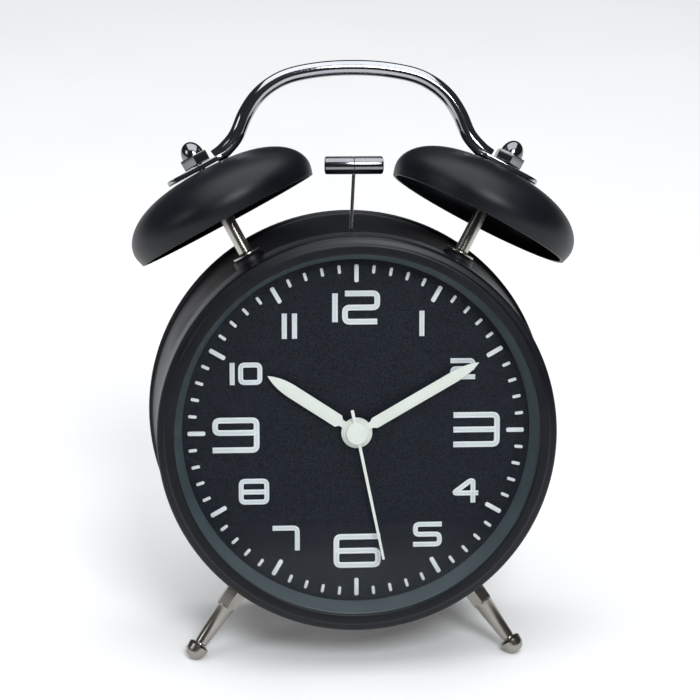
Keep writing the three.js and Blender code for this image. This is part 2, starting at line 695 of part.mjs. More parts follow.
function wheels() {
  const [cannon, motion] = meshedPair(TEETH.cannon, TEETH.motion, modules.minute, 0);
  const [hour, motionPinion] = meshedPair(TEETH.hour, TEETH.motionPinion, modules.hour, 0);
  const [alarm, alarmPinion] = meshedPair(TEETH.alarm, TEETH.alarmPinion, modules.alarm, Math.PI);
  const [second, stepPinion] = meshedPair(TEETH.second, TEETH.stepPinion, modules.second, Math.PI / 2);
  const rotorAngle = Math.atan2(rotorAt.y - stepAt.y, rotorAt.x - stepAt.x);
  const [step, rotorPinion] = meshedPair(TEETH.step, TEETH.rotor, modules.step, rotorAngle);
  const bore = (tube) => rod(tube.inner, -40, 40, SMALL);
  const end = lidFront + GAP;
  const shaftEnd = REAR_FACE - KNOB_STANDOFF - KNOB_HEIGHT + 2;
  return [
    nylon('alarm_wheel', without(
      united(gear(alarm, 0), rod(alarmTube.outer, layerTop(0) - 0.5, alarmHandFront)), bore(alarmTube),
    )),
    nylon('hour_wheel', without(
      united(gear(hour, 1), rod(hourTube.outer, layerTop(1) - 0.5, hourHandFront)), bore(hourTube),
    )),
    steel('minute_wheel', without(
      united(gear(cannon, 2), rod(minuteTube.outer, layerTop(2) - 0.5, minuteHandFront)), bore(minuteTube),
    )),
    steel('second_wheel', united(
      gear(second, 3), rod(SECOND_ARBOR_R, end, secondHandFront - GAP),
    )),
    nylon('motion_wheel', united(
      gear(motion, 2, motionAt), gear(motionPinion, 1, motionAt),
      rodAt(motionAt, SHAFT_R, layerTop(1), shaftEnd),
    )),
    nylon('alarm_set_pinion', united(
      gear(alarmPinion, 0, alarmSetAt), rodAt(alarmSetAt, SHAFT_R, layerTop(0), shaftEnd),
    )),
    nylon('step_wheel', united(
      gear(stepPinion, 3, stepAt), gear(step, 4, stepAt),
      rodAt(stepAt, SECOND_ARBOR_R, layerTop(3) + 0.3, layerTop(4) - WHEEL_WALL),
    )),
    steel('rotor', united(
      gear(rotorPinion, 4, rotorAt),
      rodAt(rotorAt, ROTOR_R, layerTop(3) - ROTOR_DEPTH, layerTop(3), MID),
      rodAt(rotorAt, SECOND_ARBOR_R, layerTop(3) + 0.3, layerTop(4) - WHEEL_WALL),
    )),
  ];
}

/** Stepper stator: a lamination round the rotor and the coil's core in one stamping. */
function stator() {
  const top = layerTop(3);
  const coreX = -(BOX_SIDE / 2 - BOX_WALL - COIL_R - 0.5);
  const pole = block(coreX - 0.8, -4, rotorAt.y - 5, rotorAt.y + 5, top - ROTOR_DEPTH, top);
  const core = block(coreX - 0.8, coreX + 0.8, -14, rotorAt.y, top - ROTOR_DEPTH, top);
  const hole = rodAt(rotorAt, ROTOR_R + ROTOR_GAP, top - 5, top + 5, MID);
  const middle = top - ROTOR_DEPTH / 2;
  const along = frameAlong(new THREE.Vector3(coreX, -12, middle), new THREE.Vector3(0, 1, 0));
  const slot = block(coreX - 1.1, coreX + 1.1, -20, 20, middle - 0.9, middle + 0.9);
  const winding = without(rod(COIL_R, 0, 18, MID, along), slot);
  return [
    steel('stator_core', without(united(pole, core), hole)),
    copper('stator_coil', winding),
  ];
}

function electronics() {
  const top = layerTop(3);
  const board = block(-16, 24, -26, -14.5, top - 1.2, top);
  const along = frameAlong(new THREE.Vector3(4, -20, top + GAP + 1.5), new THREE.Vector3(1, 0, 0));
  return [
    piece('circuit_board', board, 0x2f5a3a, 0.6, 0),
    steel('quartz_crystal', rod(1.5, 0, 8, SMALL, along)),
  ];
}

// ---------------------------------------------------------------- rear
function rearCover() {
  const disc = rod(coverR, REAR_FACE, coverInner, FINE);
  const wall = BAY_WALL;
  const tub = block(
    bay.left - wall, bay.right + wall, bay.bottom - wall, bay.top + wall, coverInner - 0.2, bayFloor,
  );
  const hollow = block(bay.left, bay.right, bay.bottom, bay.top, REAR_FACE - 1, bayFloor - BAY_WALL);
  const holes = [motionAt, alarmSetAt].map((at) => rodAt(at, SHAFT_R + GAP, REAR_FACE - 1, coverInner + 1));
  const screwHoles = pillars.map((at) => rodAt(at, SCREW_R + GAP, REAR_FACE - 1, coverInner + 1));
  const slotHalf = (THUMB.width * 0.5 + SWITCH_TRAVEL) / 2 + GAP;
  const slot = block(
    SWITCH_AT.x - slotHalf, SWITCH_AT.x + slotHalf,
    SWITCH_AT.y - THUMB.height / 4 - GAP, SWITCH_AT.y + THUMB.height / 4 + GAP,
    REAR_FACE - 1, coverInner + 1,
  );
  return plastic('rear_cover', without(united(disc, tub), hollow, ...holes, ...screwHoles, slot));
}

function batteryDoor() {
  const width = BAY_LENGTH - 2 * GAP;
  const height = bay.top - bay.bottom - 2 * GAP;
  const at = new THREE.Matrix4().makeTranslation(0, (bay.top + bay.bottom) / 2, 0);
  const panel = block(-width / 2, width / 2, -height / 2, height / 2, REAR_FACE, doorInner, at);
  const grip = [0, 1, 2].map((i) => {
    const y = height / 2 - 3 - 1.8 * i;
    return block(-7, 7, y - 0.4, y + 0.4, REAR_FACE - 0.5, REAR_FACE + 0.2, at);
  });
  return plastic('battery_door', united(panel, ...grip));
}

function cell(name, y, facing) {
  const end = BAY_LENGTH / 2 - CONTACT_WALL - 2 * GAP;
  const start = new THREE.Vector3(facing * (end - CELL_LENGTH), y, cellAxis);
  const along = frameAlong(start, new THREE.Vector3(facing, 0, 0));
  const body = CELL_LENGTH - CELL_NUB;
  return piece(name, spun([
    [0, 0], [CELL_R - 0.4, 0], [CELL_R, 0.4], [CELL_R, body - 0.6], [CELL_R - 0.8, body],
    [2.75, body], [2.75, CELL_LENGTH], [0, CELL_LENGTH],
  ], MID, along), 0x2c6e49, 0.35, 0.3);
}

/** Contact strip: flat against one cell's nub and coned out to the other cell's base. */
function contact(name, facing) {
  const wall = BAY_LENGTH / 2 - GAP;
  const back = facing > 0 ? [wall - CONTACT_WALL, wall] : [-wall, -wall + CONTACT_WALL];
  const strip = block(back[0], back[1], lowerCell - 5, upperCell + 5, cellAxis - 3.5, cellAxis + 3.5);
  const coneY = facing > 0 ? lowerCell : upperCell;
  const room = BAY_LENGTH - CONTACT_WALL - 2 * GAP - CELL_LENGTH - 2 * GAP - CONTACT_WALL;
  const root = new THREE.Vector3(facing * (wall - CONTACT_WALL), coneY, cellAxis);
  const cone = spun([[0, -0.1], [3, -0.1], [2.1, room], [0, room]], SMALL,
    frameAlong(root, new THREE.Vector3(-facing, 0, 0)));
  return steel(name, united(strip, cone));
}

function knob(name, at) {
  const top = REAR_FACE - KNOB_STANDOFF;
  const grip = gearShape(18, (2 * KNOB_R) / 18.9, 0);
  const body = united(
    rod(KNOB_R * 0.86, top - KNOB_HEIGHT, top, MID),
    plate(grip, top - KNOB_HEIGHT + 0.8, top - 0.8),
  );
  const socket = rod(SHAFT_R + RUN, top - KNOB_HEIGHT + 2 - GAP, top + 1, SMALL);
  const place = new THREE.Matrix4().makeTranslation(at.x, at.y, 0);
  return plastic(name, without(body, socket), place);
}

function alarmSwitch() {
  const { width, height, depth } = THUMB;
  const x = SWITCH_AT.x - SWITCH_TRAVEL / 2;
  const y = SWITCH_AT.y;
  const face = REAR_FACE - GAP;
  const thumb = block(x - width / 2, x + width / 2, y - height / 2, y + height / 2, face - depth, face);
  const neck = block(
    x - width / 4, x + width / 4, y - height / 4, y + height / 4, face - 0.5, coverInner + GAP + 0.5,
  );
  const flange = block(x - 5, x + 5, y - 3, y + 3, coverInner + GAP, coverInner + GAP + 1.2);
  return piece('alarm_switch', united(thumb, neck, flange), 0xb9bcc0, 0.5, 0);
}

function rearScrews() {
  const tip = coverInner + SCREW_REACH;
  return pillars.map((at, i) => {
    const face = REAR_FACE - GAP;
    const body = spun([
      [0, face - 1.3], [SCREW_HEAD_R - 0.6, face - 1.3], [SCREW_HEAD_R, face - 0.5],
      [SCREW_HEAD_R, face], [SCREW_R, face], [SCREW_R, tip], [0, tip],
    ], SMALL);
    const cross = united(
      block(-1.5, 1.5, -0.3, 0.3, face - 2, face - 0.6),
      block(-0.3, 0.3, -1.5, 1.5, face - 2, face - 0.6),
    );
    const place = new THREE.Matrix4().makeTranslation(at.x, at.y, 0);
    return steel(`rear_screw_${i + 1}`, without(body, cross), place);
  });
}

// ---------------------------------------------------------------- bells, posts and handle
/** Dome from the rim up to the flat crown, offset inwards by a wall. */
function domeProfile(inset) {
  const top = BELL_HEIGHT - inset;
  const wide = BELL_MAX_R - inset;
  const belly = 3.2;
  const points = [[BELL_RIM_R - inset, 0], [wide, belly]];
  for (let i = 1; i <= 6; i += 1) {
    const angle = (i / 6) * (Math.PI / 2) * 0.93;
    const radius = wide * Math.cos(angle) ** 0.78;
    points.push([radius, belly + (top - belly) * Math.sin(angle)]);
  }
  return [...points, [0, top]];
}

function bell(side, name) {
  const outer = spun([[0, 0], ...domeProfile(0)], DOME);
  const inner = spun([[0, -1], [BELL_RIM_R - BELL_WALL, -1], ...domeProfile(BELL_WALL)], DOME);
  const hole = rod(STUD_R + GAP, 0, BELL_HEIGHT + 5, SMALL);
  return black(name, without(outer, inner, hole), frameAlong(bellRims[side], bellUp[side]));
}

function post(side, name) {
  const foot = SEAT_PROUD + GAP + WASHER_WALL + GAP;
  const shoulder = postReach + BELL_HEIGHT - BELL_WALL - GAP;
  const tip = postReach + nutBase + CAP_NUT.height - 2.6;
  const body = united(
    rod(POST_R, foot, shoulder, MID),
    rod(STUD_R, -5.6, tip, SMALL),
  );
  return nickel(name, body, postFrames[side]);
}

function washer(side, name) {
  const base = SEAT_PROUD + GAP;
  const body = without(rod(WASHER_R, base, base + WASHER_WALL, MID), rod(STUD_R + GAP, 0, 5));
  return nickel(name, body, postFrames[side]);
}

/** Hexagon nut inside the drum, clear of its curved wall. */
function innerNut(name, frame, start) {
  const body = without(plate(hexagon(NUT_R), start - NUT_HEIGHT, start), rod(STUD_R + RUN, -9, 5));
  return steel(name, body, frame);
}

function capNut(side, name) {
  const { corner, hex, dome, height } = CAP_NUT;
  const points = [[0, hex - 0.2], [dome, hex - 0.2]];
  for (let i = 0; i <= 5; i += 1) {
    const angle = (i / 5) * (Math.PI / 2);
    points.push([dome * Math.cos(angle), hex + (height - hex) * Math.sin(angle)]);
  }
  const body = without(
    united(plate(hexagon(corner), 0, hex), spun(points, MID)),
    rod(STUD_R + RUN, -1, height - 2.6 + GAP, SMALL),
  );
  const place = frameAlong(bellRims[side], bellUp[side]);
  return chrome(name, body, place.multiply(new THREE.Matrix4().makeTranslation(0, 0, nutBase)));
}

function handle() {
  const straps = [0, 1].map((side) => {
    const outward = side === 0 ? -1 : 1;
    const ends = [-outward * STRAP.inner, outward * STRAP.outer].sort((a, b) => a - b);
    const shape = roundedBox(ends[1] - ends[0], STRAP.width, STRAP.width * 0.45);
    const middle = (ends[0] + ends[1]) / 2;
    const place = frameAlong(bellRims[side], bellUp[side]);
    const offset = new THREE.Matrix4().makeTranslation(middle, 0, 0);
    const frame = place.clone().multiply(offset);
    const strap = plate(shape, strapBase, strapBase + STRAP.wall, frame);
    return without(strap, rod(STUD_R + GAP, 0, 40, SMALL, place));
  });
  const slope = Math.tan(rad(BELL_BACK_TILT));
  const strapEnd = (side, along, lift) => {
    const frame = frameAlong(bellRims[side], bellUp[side]);
    const outward = side === 0 ? -1 : 1;
    return new THREE.Vector3(-outward * along, 0, strapBase + lift).applyMatrix4(frame);
  };
  const arch = (x, y) => new THREE.Vector3(x, y, BELL_DEPTH - (y - bellRims[1].y) * slope);
  const half = [
    [30.6, ARCH_TOP - 17.5], [28.2, ARCH_TOP - 12.1], [25.2, ARCH_TOP - 7.6],
    [21, ARCH_TOP - 4.1], [15.8, ARCH_TOP - 1.8], [8, ARCH_TOP - 0.4],
  ];
  const points = [
    strapEnd(0, STRAP.inner - 3.6, BAR_R * 0.55),
    strapEnd(0, STRAP.inner - 0.6, BAR_R * 0.8),
    ...half.map(([x, y]) => arch(-x, y)),
    arch(0, ARCH_TOP),
    ...half.map(([x, y]) => arch(x, y)).reverse(),
    strapEnd(1, STRAP.inner - 0.6, BAR_R * 0.8),
    strapEnd(1, STRAP.inner - 3.6, BAR_R * 0.55),
  ];
  const path = new THREE.CatmullRomCurve3(points, false, 'centripetal');
  const section = new THREE.Shape().absarc(0, 0, BAR_R, 0, Math.PI * 2);
  const bar = solid(new THREE.ExtrudeGeometry(section, {
    steps: 30, extrudePath: path, bevelEnabled: false, curveSegments: 5,
  }));
  const beds = [0, 1].map((side) => {
    const frame = frameAlong(bellRims[side], bellUp[side]);
    return block(-20, 20, -20, 20, -5, strapBase, frame);
  });
  return chrome('handle', united(without(bar, ...beds), ...straps));
}

// ---------------------------------------------------------------- hammer
const hammerFrame = new THREE.Matrix4()
  .makeRotationZ(-rad(HAMMER_LEAN))
  .setPosition(pivotSide, PIVOT_HEIGHT, HAMMER_DEPTH);

function hammerArm() {
  const half = PIVOT_HUB_LENGTH / 2;
  const up = new THREE.Matrix4().makeRotationX(-Math.PI / 2);
  const wire = rod(WIRE_R, -(wireLength - HEAD.radius + 1.2), 0, 8, up.clone().invert());
  const hub = rod(PIVOT_HUB_R, -half, half, MID);
  const armature = block(1.2, 2.4, 2.5, 9.5, -2.4, 2.4);
  const web = block(-0.6, 1.6, 2, 8.6, -1, 1);
  const bore = rod(PIVOT_R + RUN, -9, 9, SMALL);
  return nickel('hammer_arm', without(united(wire, hub, armature, web), bore), hammerFrame);
}

function hammerHead() {
  const { length, radius, chamfer } = HEAD;
  const half = length / 2;
  const along = new THREE.Matrix4().makeRotationY(Math.PI / 2);
  const body = spun([
    [0, -half], [radius - chamfer, -half], [radius, -half + chamfer],
    [radius, half - chamfer], [radius - chamfer, half], [0, half],
  ], MID, along);
  const upright = new THREE.Matrix4().makeRotationX(-Math.PI / 2);
  const socket = rod(WIRE_R + RUN, -radius - 1, radius - 0.7, SMALL, upright);
  const place = new THREE.Matrix4().makeTranslation(headSide, HEAD_HEIGHT, HAMMER_DEPTH);
  return chrome('hammer_head', without(body, socket), place);
}

function striker() {
  const front = HAMMER_DEPTH + PIVOT_HUB_LENGTH / 2 + 2.2;
  const back = HAMMER_DEPTH - PIVOT_HUB_LENGTH / 2 - 2.2;
  const base = BOX_SIDE / 2 + GAP;
  const coreFront = pivotSide + 7.6;
  const coreBack = coreFront + 12.6;
  const floor = block(pivotSide - 5, coreBack + 1.2, base, base + 1.2, back, front);
  const ears = [[front - 1.2, front], [back, back + 1.2]].map(([low, high]) => (
    block(pivotSide - 4, pivotSide + 4, base, PIVOT_HEIGHT + 3.4, low, high)
  ));
  const yoke = block(coreBack, coreBack + 1.2, base, MAGNET_HEIGHT + 3, back, front);
  const pinAt = new THREE.Matrix4().makeTranslation(pivotSide, PIVOT_HEIGHT, 0);
  const pinHole = rod(PIVOT_R + RUN, -40, 40, SMALL, pinAt);
  const magnetAt = new THREE.Vector3(0, MAGNET_HEIGHT, HAMMER_DEPTH);
  const along = frameAlong(magnetAt, new THREE.Vector3(1, 0, 0));
  const coreHole = rod(1.6 + RUN, 0, 40, SMALL, along);
  const coreEnd = coreBack + 1.2;
  const winding = without(rod(MAGNET_R, coreFront + 1.4, coreBack - GAP, MID, along), coreHole);
  return [
    steel('striker_bracket', without(united(floor, ...ears, yoke), pinHole, coreHole)),
    steel('striker_core', rod(1.6, coreFront, coreEnd, SMALL, along)),
    copper('striker_coil', winding),
    steel('hammer_pivot', rod(PIVOT_R, back, front, SMALL, pinAt)),
  ];
}

// ---------------------------------------------------------------- legs
function leg(side, name) {
  const hexEnd = legShoulder + LEG_HEX.length;
  const coneEnd = hexEnd + LEG_CONE.length;
  const centre = footCentre;
  const shank = spun([
    [0, hexEnd - 0.5], [LEG_CONE.top, hexEnd - 0.5], [LEG_CONE.top, hexEnd + 0.6],
    [LEG_CONE.bottom, coneEnd], [LEG_CONE.bottom, coneEnd + 1], [0, coneEnd + 1],
  ], MID);
  const ball = [
    [0, coneEnd - 0.1], [LEG_CONE.bottom, coneEnd - 0.1],
    [FOOT_R - 0.3, coneEnd + 0.5], [FOOT_R, centre - 0.6],
  ];
  for (let i = 0; i <= 6; i += 1) {
    const angle = (i / 6) * (Math.PI / 2);
    ball.push([FOOT_SPHERE_R * Math.cos(angle), centre + FOOT_SPHERE_R * Math.sin(angle)]);
  }
  const toFrame = legFrames[side].clone().invert();
  const table = underTable().transform(toFrame.elements);
  const body = united(
    plate(hexagon(LEG_HEX.corner), legShoulder, hexEnd),
    shank,
    spun(ball, MID),
    rod(STUD_R, -5.6, legShoulder + 1, SMALL),
  );
  return nickel(name, without(body, table), legFrames[side]);
}

// ---------------------------------------------------------------- assembly
const clock = new THREE.Group();
clock.add(
  caseDrum(),
  bezel(),
  lens(),
  rehautRing(),
  dial(),
  dialFrame(),
  hand('alarm_hand', ALARM_HAND, alarmHandFront, alarmTube.outer, steel),
  hand('hour_hand', HOUR_HAND, hourHandFront, hourTube.outer, ivory),
  hand('minute_hand', MINUTE_HAND, minuteHandFront, minuteTube.outer, ivory),
  secondHand(),
  movementHousing(),
  movementCover(),
  ...movementScrews(),
  ...wheels(),
  ...stator(),
  ...electronics(),
  rearCover(),
  batteryDoor(),
  cell('battery_upper', upperCell, 1),
  cell('battery_lower', lowerCell, -1),
  contact('battery_contact_right', 1),
  contact('battery_contact_left', -1),
  knob('time_set_knob', motionAt),
  knob('alarm_set_knob', alarmSetAt),
  alarmSwitch(),
  ...rearScrews(),
  handle(),
  hammerArm(),
  hammerHead(),
  ...striker(),
);
['left', 'right'].forEach((word, side) => {
  clock.add(
    bell(side, `bell_${word}`),
    post(side, `bell_post_${word}`),
    washer(side, `post_washer_${word}`),
    innerNut(`post_nut_${word}`, postFrames[side], -2.4),
    capNut(side, `cap_nut_${word}`),
    leg(side, `leg_${word}`),
    innerNut(`leg_nut_${word}`, legFrames[side], -1.9),
  );
});

// Stand the clock on the table, with the middle of its footprint over the origin.
clock.applyMatrix4(standing);
clock.updateMatrixWorld(true);
const box = new THREE.Box3().setFromObject(clock, true);
const middle = box.getCenter(new THREE.Vector3());
clock.position.set(-middle.x, -middle.y, -tableLevel);
const assembly = new THREE.Group();
assembly.add(clock);

export default assembly;
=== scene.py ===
"""Twin-bell alarm clock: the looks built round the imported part, in metres and in the part's own frame."""

import json
import logging
import math
from dataclasses import dataclass, field
from enum import Enum

import bmesh
import bpy
from mathutils import Matrix, Vector


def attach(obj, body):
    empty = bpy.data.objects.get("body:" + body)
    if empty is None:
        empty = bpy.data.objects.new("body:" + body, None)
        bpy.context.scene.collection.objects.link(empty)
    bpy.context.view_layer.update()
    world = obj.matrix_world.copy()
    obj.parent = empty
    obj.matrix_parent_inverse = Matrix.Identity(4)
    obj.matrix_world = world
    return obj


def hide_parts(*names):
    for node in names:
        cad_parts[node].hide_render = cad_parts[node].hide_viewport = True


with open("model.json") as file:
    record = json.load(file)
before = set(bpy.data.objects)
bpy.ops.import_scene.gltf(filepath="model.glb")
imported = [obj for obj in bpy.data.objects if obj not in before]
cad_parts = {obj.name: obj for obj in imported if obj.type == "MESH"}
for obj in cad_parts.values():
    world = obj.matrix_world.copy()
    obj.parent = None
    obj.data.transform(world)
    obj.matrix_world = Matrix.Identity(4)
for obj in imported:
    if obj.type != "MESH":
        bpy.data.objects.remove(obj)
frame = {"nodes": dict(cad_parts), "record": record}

LOG = logging.getLogger("clock")
MM = 0.001
TABLE_Z = 0.0
SMOOTH_ANGLE = math.radians(32)
# Points closer than this, in millimetres, are one point once a profile is spun.
MERGE_MM = 1e-5
# Share of its mirror image that a thin flat window keeps.
WINDOW_MIRROR = 0.2
# Noise values between which the clean colour fades into the second one.
DRIFT_LOW, DRIFT_HIGH = 0.38, 0.62
# Extra noise frequency along z, which draws the marks of turning.
TURNING_STRETCH = (1.0, 1.0, 18.0)
# Least cosine a mitre is divided by, so that sharp corners stay short.
MITRE_LIMIT = 0.3
Profile = list[tuple[float, float]]
Triple = tuple[float, float, float]


# ---- finishes
class Surface(Enum):
    """How the small-scale relief of a finish is laid out."""

    GRAIN = "grain"
    TURNED = "turned"
    CLEAR = "clear"


@dataclass(frozen=True)
class Finish:
    """One procedural finish.

    Attributes:
        name: What the finish is called in the trade.
        colour: sRGB hex of the clean surface.
        second: sRGB hex the colour drifts towards in patches.
        metallic: 1 for bare metal, 0 for paint and plastic.
        roughness: Mean roughness.
        spread: How far the roughness drifts either way.
        patch_mm: Size of the patches of drifting colour and roughness.
        relief_mm: Size of one bump of the relief.
        height_mm: Height of the relief.
        surface: Layout of the relief.
        ior: Index of refraction of a non-metal.
        glow: Light the surface gives off, as paper lit from behind does.
    """

    name: str
    colour: str
    second: str
    metallic: float = 0.0
    roughness: float = 0.5
    spread: float = 0.05
    patch_mm: float = 12.0
    relief_mm: float = 0.4
    height_mm: float = 0.004
    surface: Surface = Surface.GRAIN
    ior: float = 1.5
    glow: float = 0.0

    def material(self) -> bpy.types.Material:
        """Builds the node material, or returns the one already built.

        Returns:
            The material.
        """
        made = bpy.data.materials.get(self.name)
        if made:
            return made
        made = bpy.data.materials.new(self.name)
        made.use_nodes = True
        tree = made.node_tree
        tree.nodes.clear()
        out = add_node(tree, "ShaderNodeOutputMaterial")
        if self.surface is Surface.CLEAR:
            shader = self._clear(tree)
        else:
            shader = self._opaque(tree)
        tree.links.new(shader, out.inputs["Surface"])
        return made

    def _clear(self, tree: bpy.types.NodeTree) -> bpy.types.NodeSocket:
        """Window that lets light straight through and mirrors it at a slant.

        Args:
            tree: Node tree of the material.

        Returns:
            The shader's output socket.
        """
        noise = self._noise(tree, self.patch_mm)
        smear = add_node(
            tree, "ShaderNodeMapRange",
            {0: noise, 3: self.roughness, 4: self.roughness + self.spread},
        )
        mirror = add_node(
            tree, "ShaderNodeBsdfGlossy",
            {"Color": linear(self.second), "Roughness": smear.outputs[0]},
        )
        through = add_node(tree, "ShaderNodeBsdfTransparent", {"Color": linear(self.colour)})
        slant = add_node(tree, "ShaderNodeFresnel", {"IOR": self.ior})
        weak = add_node(
            tree, "ShaderNodeMath", {0: slant.outputs[0], 1: WINDOW_MIRROR}, operation="MULTIPLY",
        )
        mix = add_node(
            tree, "ShaderNodeMixShader",
            {0: weak.outputs[0], 1: through.outputs[0], 2: mirror.outputs[0]},
        )
        return mix.outputs[0]

    def _opaque(self, tree: bpy.types.NodeTree) -> bpy.types.NodeSocket:
        """Principled surface with drifting colour and roughness and a fine relief.

        Args:
            tree: Node tree of the material.

        Returns:
            The shader's output socket.
        """
        patch = self._noise(tree, self.patch_mm)
        share = add_node(
            tree, "ShaderNodeMapRange", {0: patch, 1: DRIFT_LOW, 2: DRIFT_HIGH, 3: 0.0, 4: 1.0},
        )
        drift = add_node(
            tree, "ShaderNodeMix",
            {0: share.outputs[0], 6: linear(self.colour), 7: linear(self.second)}, data_type="RGBA",
        )
        smooth, dull = self.roughness - self.spread, self.roughness + self.spread
        rough = add_node(tree, "ShaderNodeMapRange", {0: patch, 1: 0.25, 2: 0.75, 3: smooth, 4: dull})
        stretch = TURNING_STRETCH if self.surface is Surface.TURNED else (1.0, 1.0, 1.0)
        relief = self._noise(tree, self.relief_mm, stretch)
        bump = add_node(
            tree, "ShaderNodeBump",
            {"Strength": 1.0, "Distance": self.height_mm * MM, "Height": relief},
        )
        values = {
            "Base Color": drift.outputs[2],
            "Metallic": self.metallic,
            "Roughness": rough.outputs[0],
            "Normal": bump.outputs[0],
        }
        if self.metallic < 0.5:
            values["IOR"] = self.ior
        if self.glow:
            values["Emission Color"] = linear(self.colour)
            values["Emission Strength"] = self.glow
        return add_node(tree, "ShaderNodeBsdfPrincipled", values).outputs[0]

    def _noise(
        self, tree: bpy.types.NodeTree, size_mm: float, stretch: Triple = (1.0, 1.0, 1.0),
    ) -> bpy.types.NodeSocket:
        """Noise over the object's own metres.

        Args:
            tree: Node tree of the material.
            size_mm: Size of one blotch.
            stretch: Extra frequency along each axis.

        Returns:
            The factor socket.
        """
        where = add_node(tree, "ShaderNodeTexCoord")
        scaled = add_node(tree, "ShaderNodeMapping", {"Vector": where.outputs["Object"], "Scale": stretch})
        noise = add_node(
            tree, "ShaderNodeTexNoise",
            {"Vector": scaled.outputs[0], "Scale": 1 / (size_mm * MM), "Detail": 3.0, "Roughness": 0.55},
        )
        return noise.outputs[0]


def linear(code: str) -> tuple[float, float, float, float]:
    """Scene-linear colour of an sRGB hex code.

    Args:
        code: Six hex digits after a hash.

    Returns:
        Red, green, blue and alpha.
    """
    parts = [int(code[i : i + 2], 16) / 255 for i in (1, 3, 5)]
    red, green, blue = [p / 12.92 if p <= 0.04045 else ((p + 0.055) / 1.055) ** 2.4 for p in parts]
    return (red, green, blue, 1.0)


def add_node(
    tree: bpy.types.NodeTree, kind: str, inputs: dict | None = None, **settings,
) -> bpy.types.Node:
    """Adds a node, linking sockets and setting constants.

    Args:
        tree: Node tree to add to.
        kind: Blender's type name of the node.
        inputs: Socket name or number to a constant or another node's socket.
        **settings: Properties of the node itself.

    Returns:
        The new node.
    """
    node = tree.nodes.new(kind)
    for key, value in settings.items():
        setattr(node, key, value)
    for key, value in (inputs or {}).items():
        if isinstance(value, bpy.types.NodeSocket):
            tree.links.new(value, node.inputs[key])
        else:
            node.inputs[key].default_value = value
    return node


# Powder coat on steel: a dark satin skin whose faint pebble breaks reflections up.
CASE_PAINT = Finish(
    "blue-black powder coat", "#06090f", "#0a0e16",
    roughness=0.42, spread=0.05, relief_mm=0.3, height_mm=0.01, ior=1.38,
)
# Sprayed enamel on pressed steel: the same satin, a little smoother, with broad soft highlights.
BELL_PAINT = Finish(
    "blue-black bell enamel", "#06090f", "#0a0e16",
    roughness=0.42, spread=0.05, relief_mm=0.35, height_mm=0.008, ior=1.38,
)
# Moulded plastic from a satin mould: an even grey slope with a soft sheen.
RING_GREY = Finish("satin grey ring moulding", "#4c585c", "#455054", roughness=0.45)
# Ink filled with fine sand: a dull black full of specks. The grain is drawn coarser than real.
DIAL_BLACK = Finish(
    "sand-grained dial", "#020306", "#1d2331",
    roughness=0.5, spread=0.15, relief_mm=0.5, height_mm=0.1, patch_mm=0.45, ior=1.35,
)
# White moulded ridges: flat bright white that stands clear of the dial.
FIGURE_WHITE = Finish("white raised figure", "#fafcfd", "#f2f6f8", roughness=0.5)
# Painted shade for the groove down each stroke: a grey that stands in for the shadow in the groove and
# gives a figure its double line.
FIGURE_GROOVE_SHADE = Finish("painted groove shade on figures", "#e6ebed", "#dbe2e5", roughness=0.55)
# Luminous enamel: a chalky white with a trace of green.
HAND_WHITE = Finish("luminous hand enamel", "#f8faf3", "#f1f4ea", roughness=0.5)
# Thin clear plate: invisible from the front, a weak mirror at a slant.
LENS_CLEAR = Finish(
    "clear flat window", "#fbfcfc", "#ffffff",
    roughness=0.02, spread=0.02, surface=Surface.CLEAR, ior=1.45,
)
# Polished plate: sharp black and white stripes of whatever stands round it.
CHROME = Finish(
    "bright chrome plate", "#a9abae", "#9ea1a5",
    metallic=1, roughness=0.09, spread=0.03, height_mm=0.0008,
)
# The same plate in a darker bath: smoky reflections, slightly softer.
DARK_CHROME = Finish(
    "dark chrome plate", "#858789", "#797b7f",
    metallic=1, roughness=0.14, spread=0.04, height_mm=0.001,
)
# Nickel over turned steel: warm grey, blurred along the marks of the lathe.
NICKEL = Finish(
    "bright nickel plate", "#c4c0b8", "#b7b3ab",
    metallic=1, roughness=0.2, spread=0.05, surface=Surface.TURNED,
)
# Duller nickel on the legs: the same warm grey with wider, weaker highlights.
LEG_NICKEL = Finish(
    "dark nickel plate", "#a8a49d", "#96928b",
    metallic=1, roughness=0.26, spread=0.06, surface=Surface.TURNED,
)
# Zinc on small steel parts: a dull blue-grey.
STEEL = Finish(
    "zinc plated steel", "#9b9ea0", "#8b8e92", metallic=1, roughness=0.38, spread=0.08,
)
# Spark-eroded mould face: a matt black that only lifts at its edges.
BLACK_MOULDING = Finish(
    "black moulding", "#1c1d20", "#202125", roughness=0.55, relief_mm=0.18, height_mm=0.012,
)
# Smoother moulding: a soft line of light on each flute.
KNOB_BLACK = Finish(
    "black knob moulding", "#191a1c", "#1e1f22", roughness=0.42, relief_mm=0.2, height_mm=0.006,
)
# Light moulding: a plain pale button against the black cover.
SWITCH_GREY = Finish("light grey moulding", "#b4b8bb", "#aab0b3", roughness=0.5)
# Undyed wheel plastic: a waxy off-white.
NYLON = Finish("natural acetal", "#dcd8c9", "#d2cdbc", roughness=0.45)
# Cut brass: yellow with a brushed sheen.
BRASS = Finish(
    "turned brass", "#c9a35a", "#b98f45", metallic=1, roughness=0.28, surface=Surface.TURNED,
)
# Pressed and fired powder: a dark dull metal.
MAGNET = Finish("sintered magnet", "#5a5b5d", "#4c4d50", metallic=1, roughness=0.5)
# Layered varnished wire: a red-brown sheen in fine bands.
COPPER = Finish(
    "enamelled copper winding", "#b46a3c", "#a25a30",
    metallic=1, roughness=0.35, surface=Surface.TURNED,
)
# Lacquer over laminate: an even, slightly glossy green.
BOARD = Finish("green solder mask", "#245c38", "#1d5030", roughness=0.4)
# Printed film round a steel can: a green with some metal in it.
JACKET = Finish("plain green cell sleeve", "#2b6b48", "#245e3e", metallic=0.3, roughness=0.35)
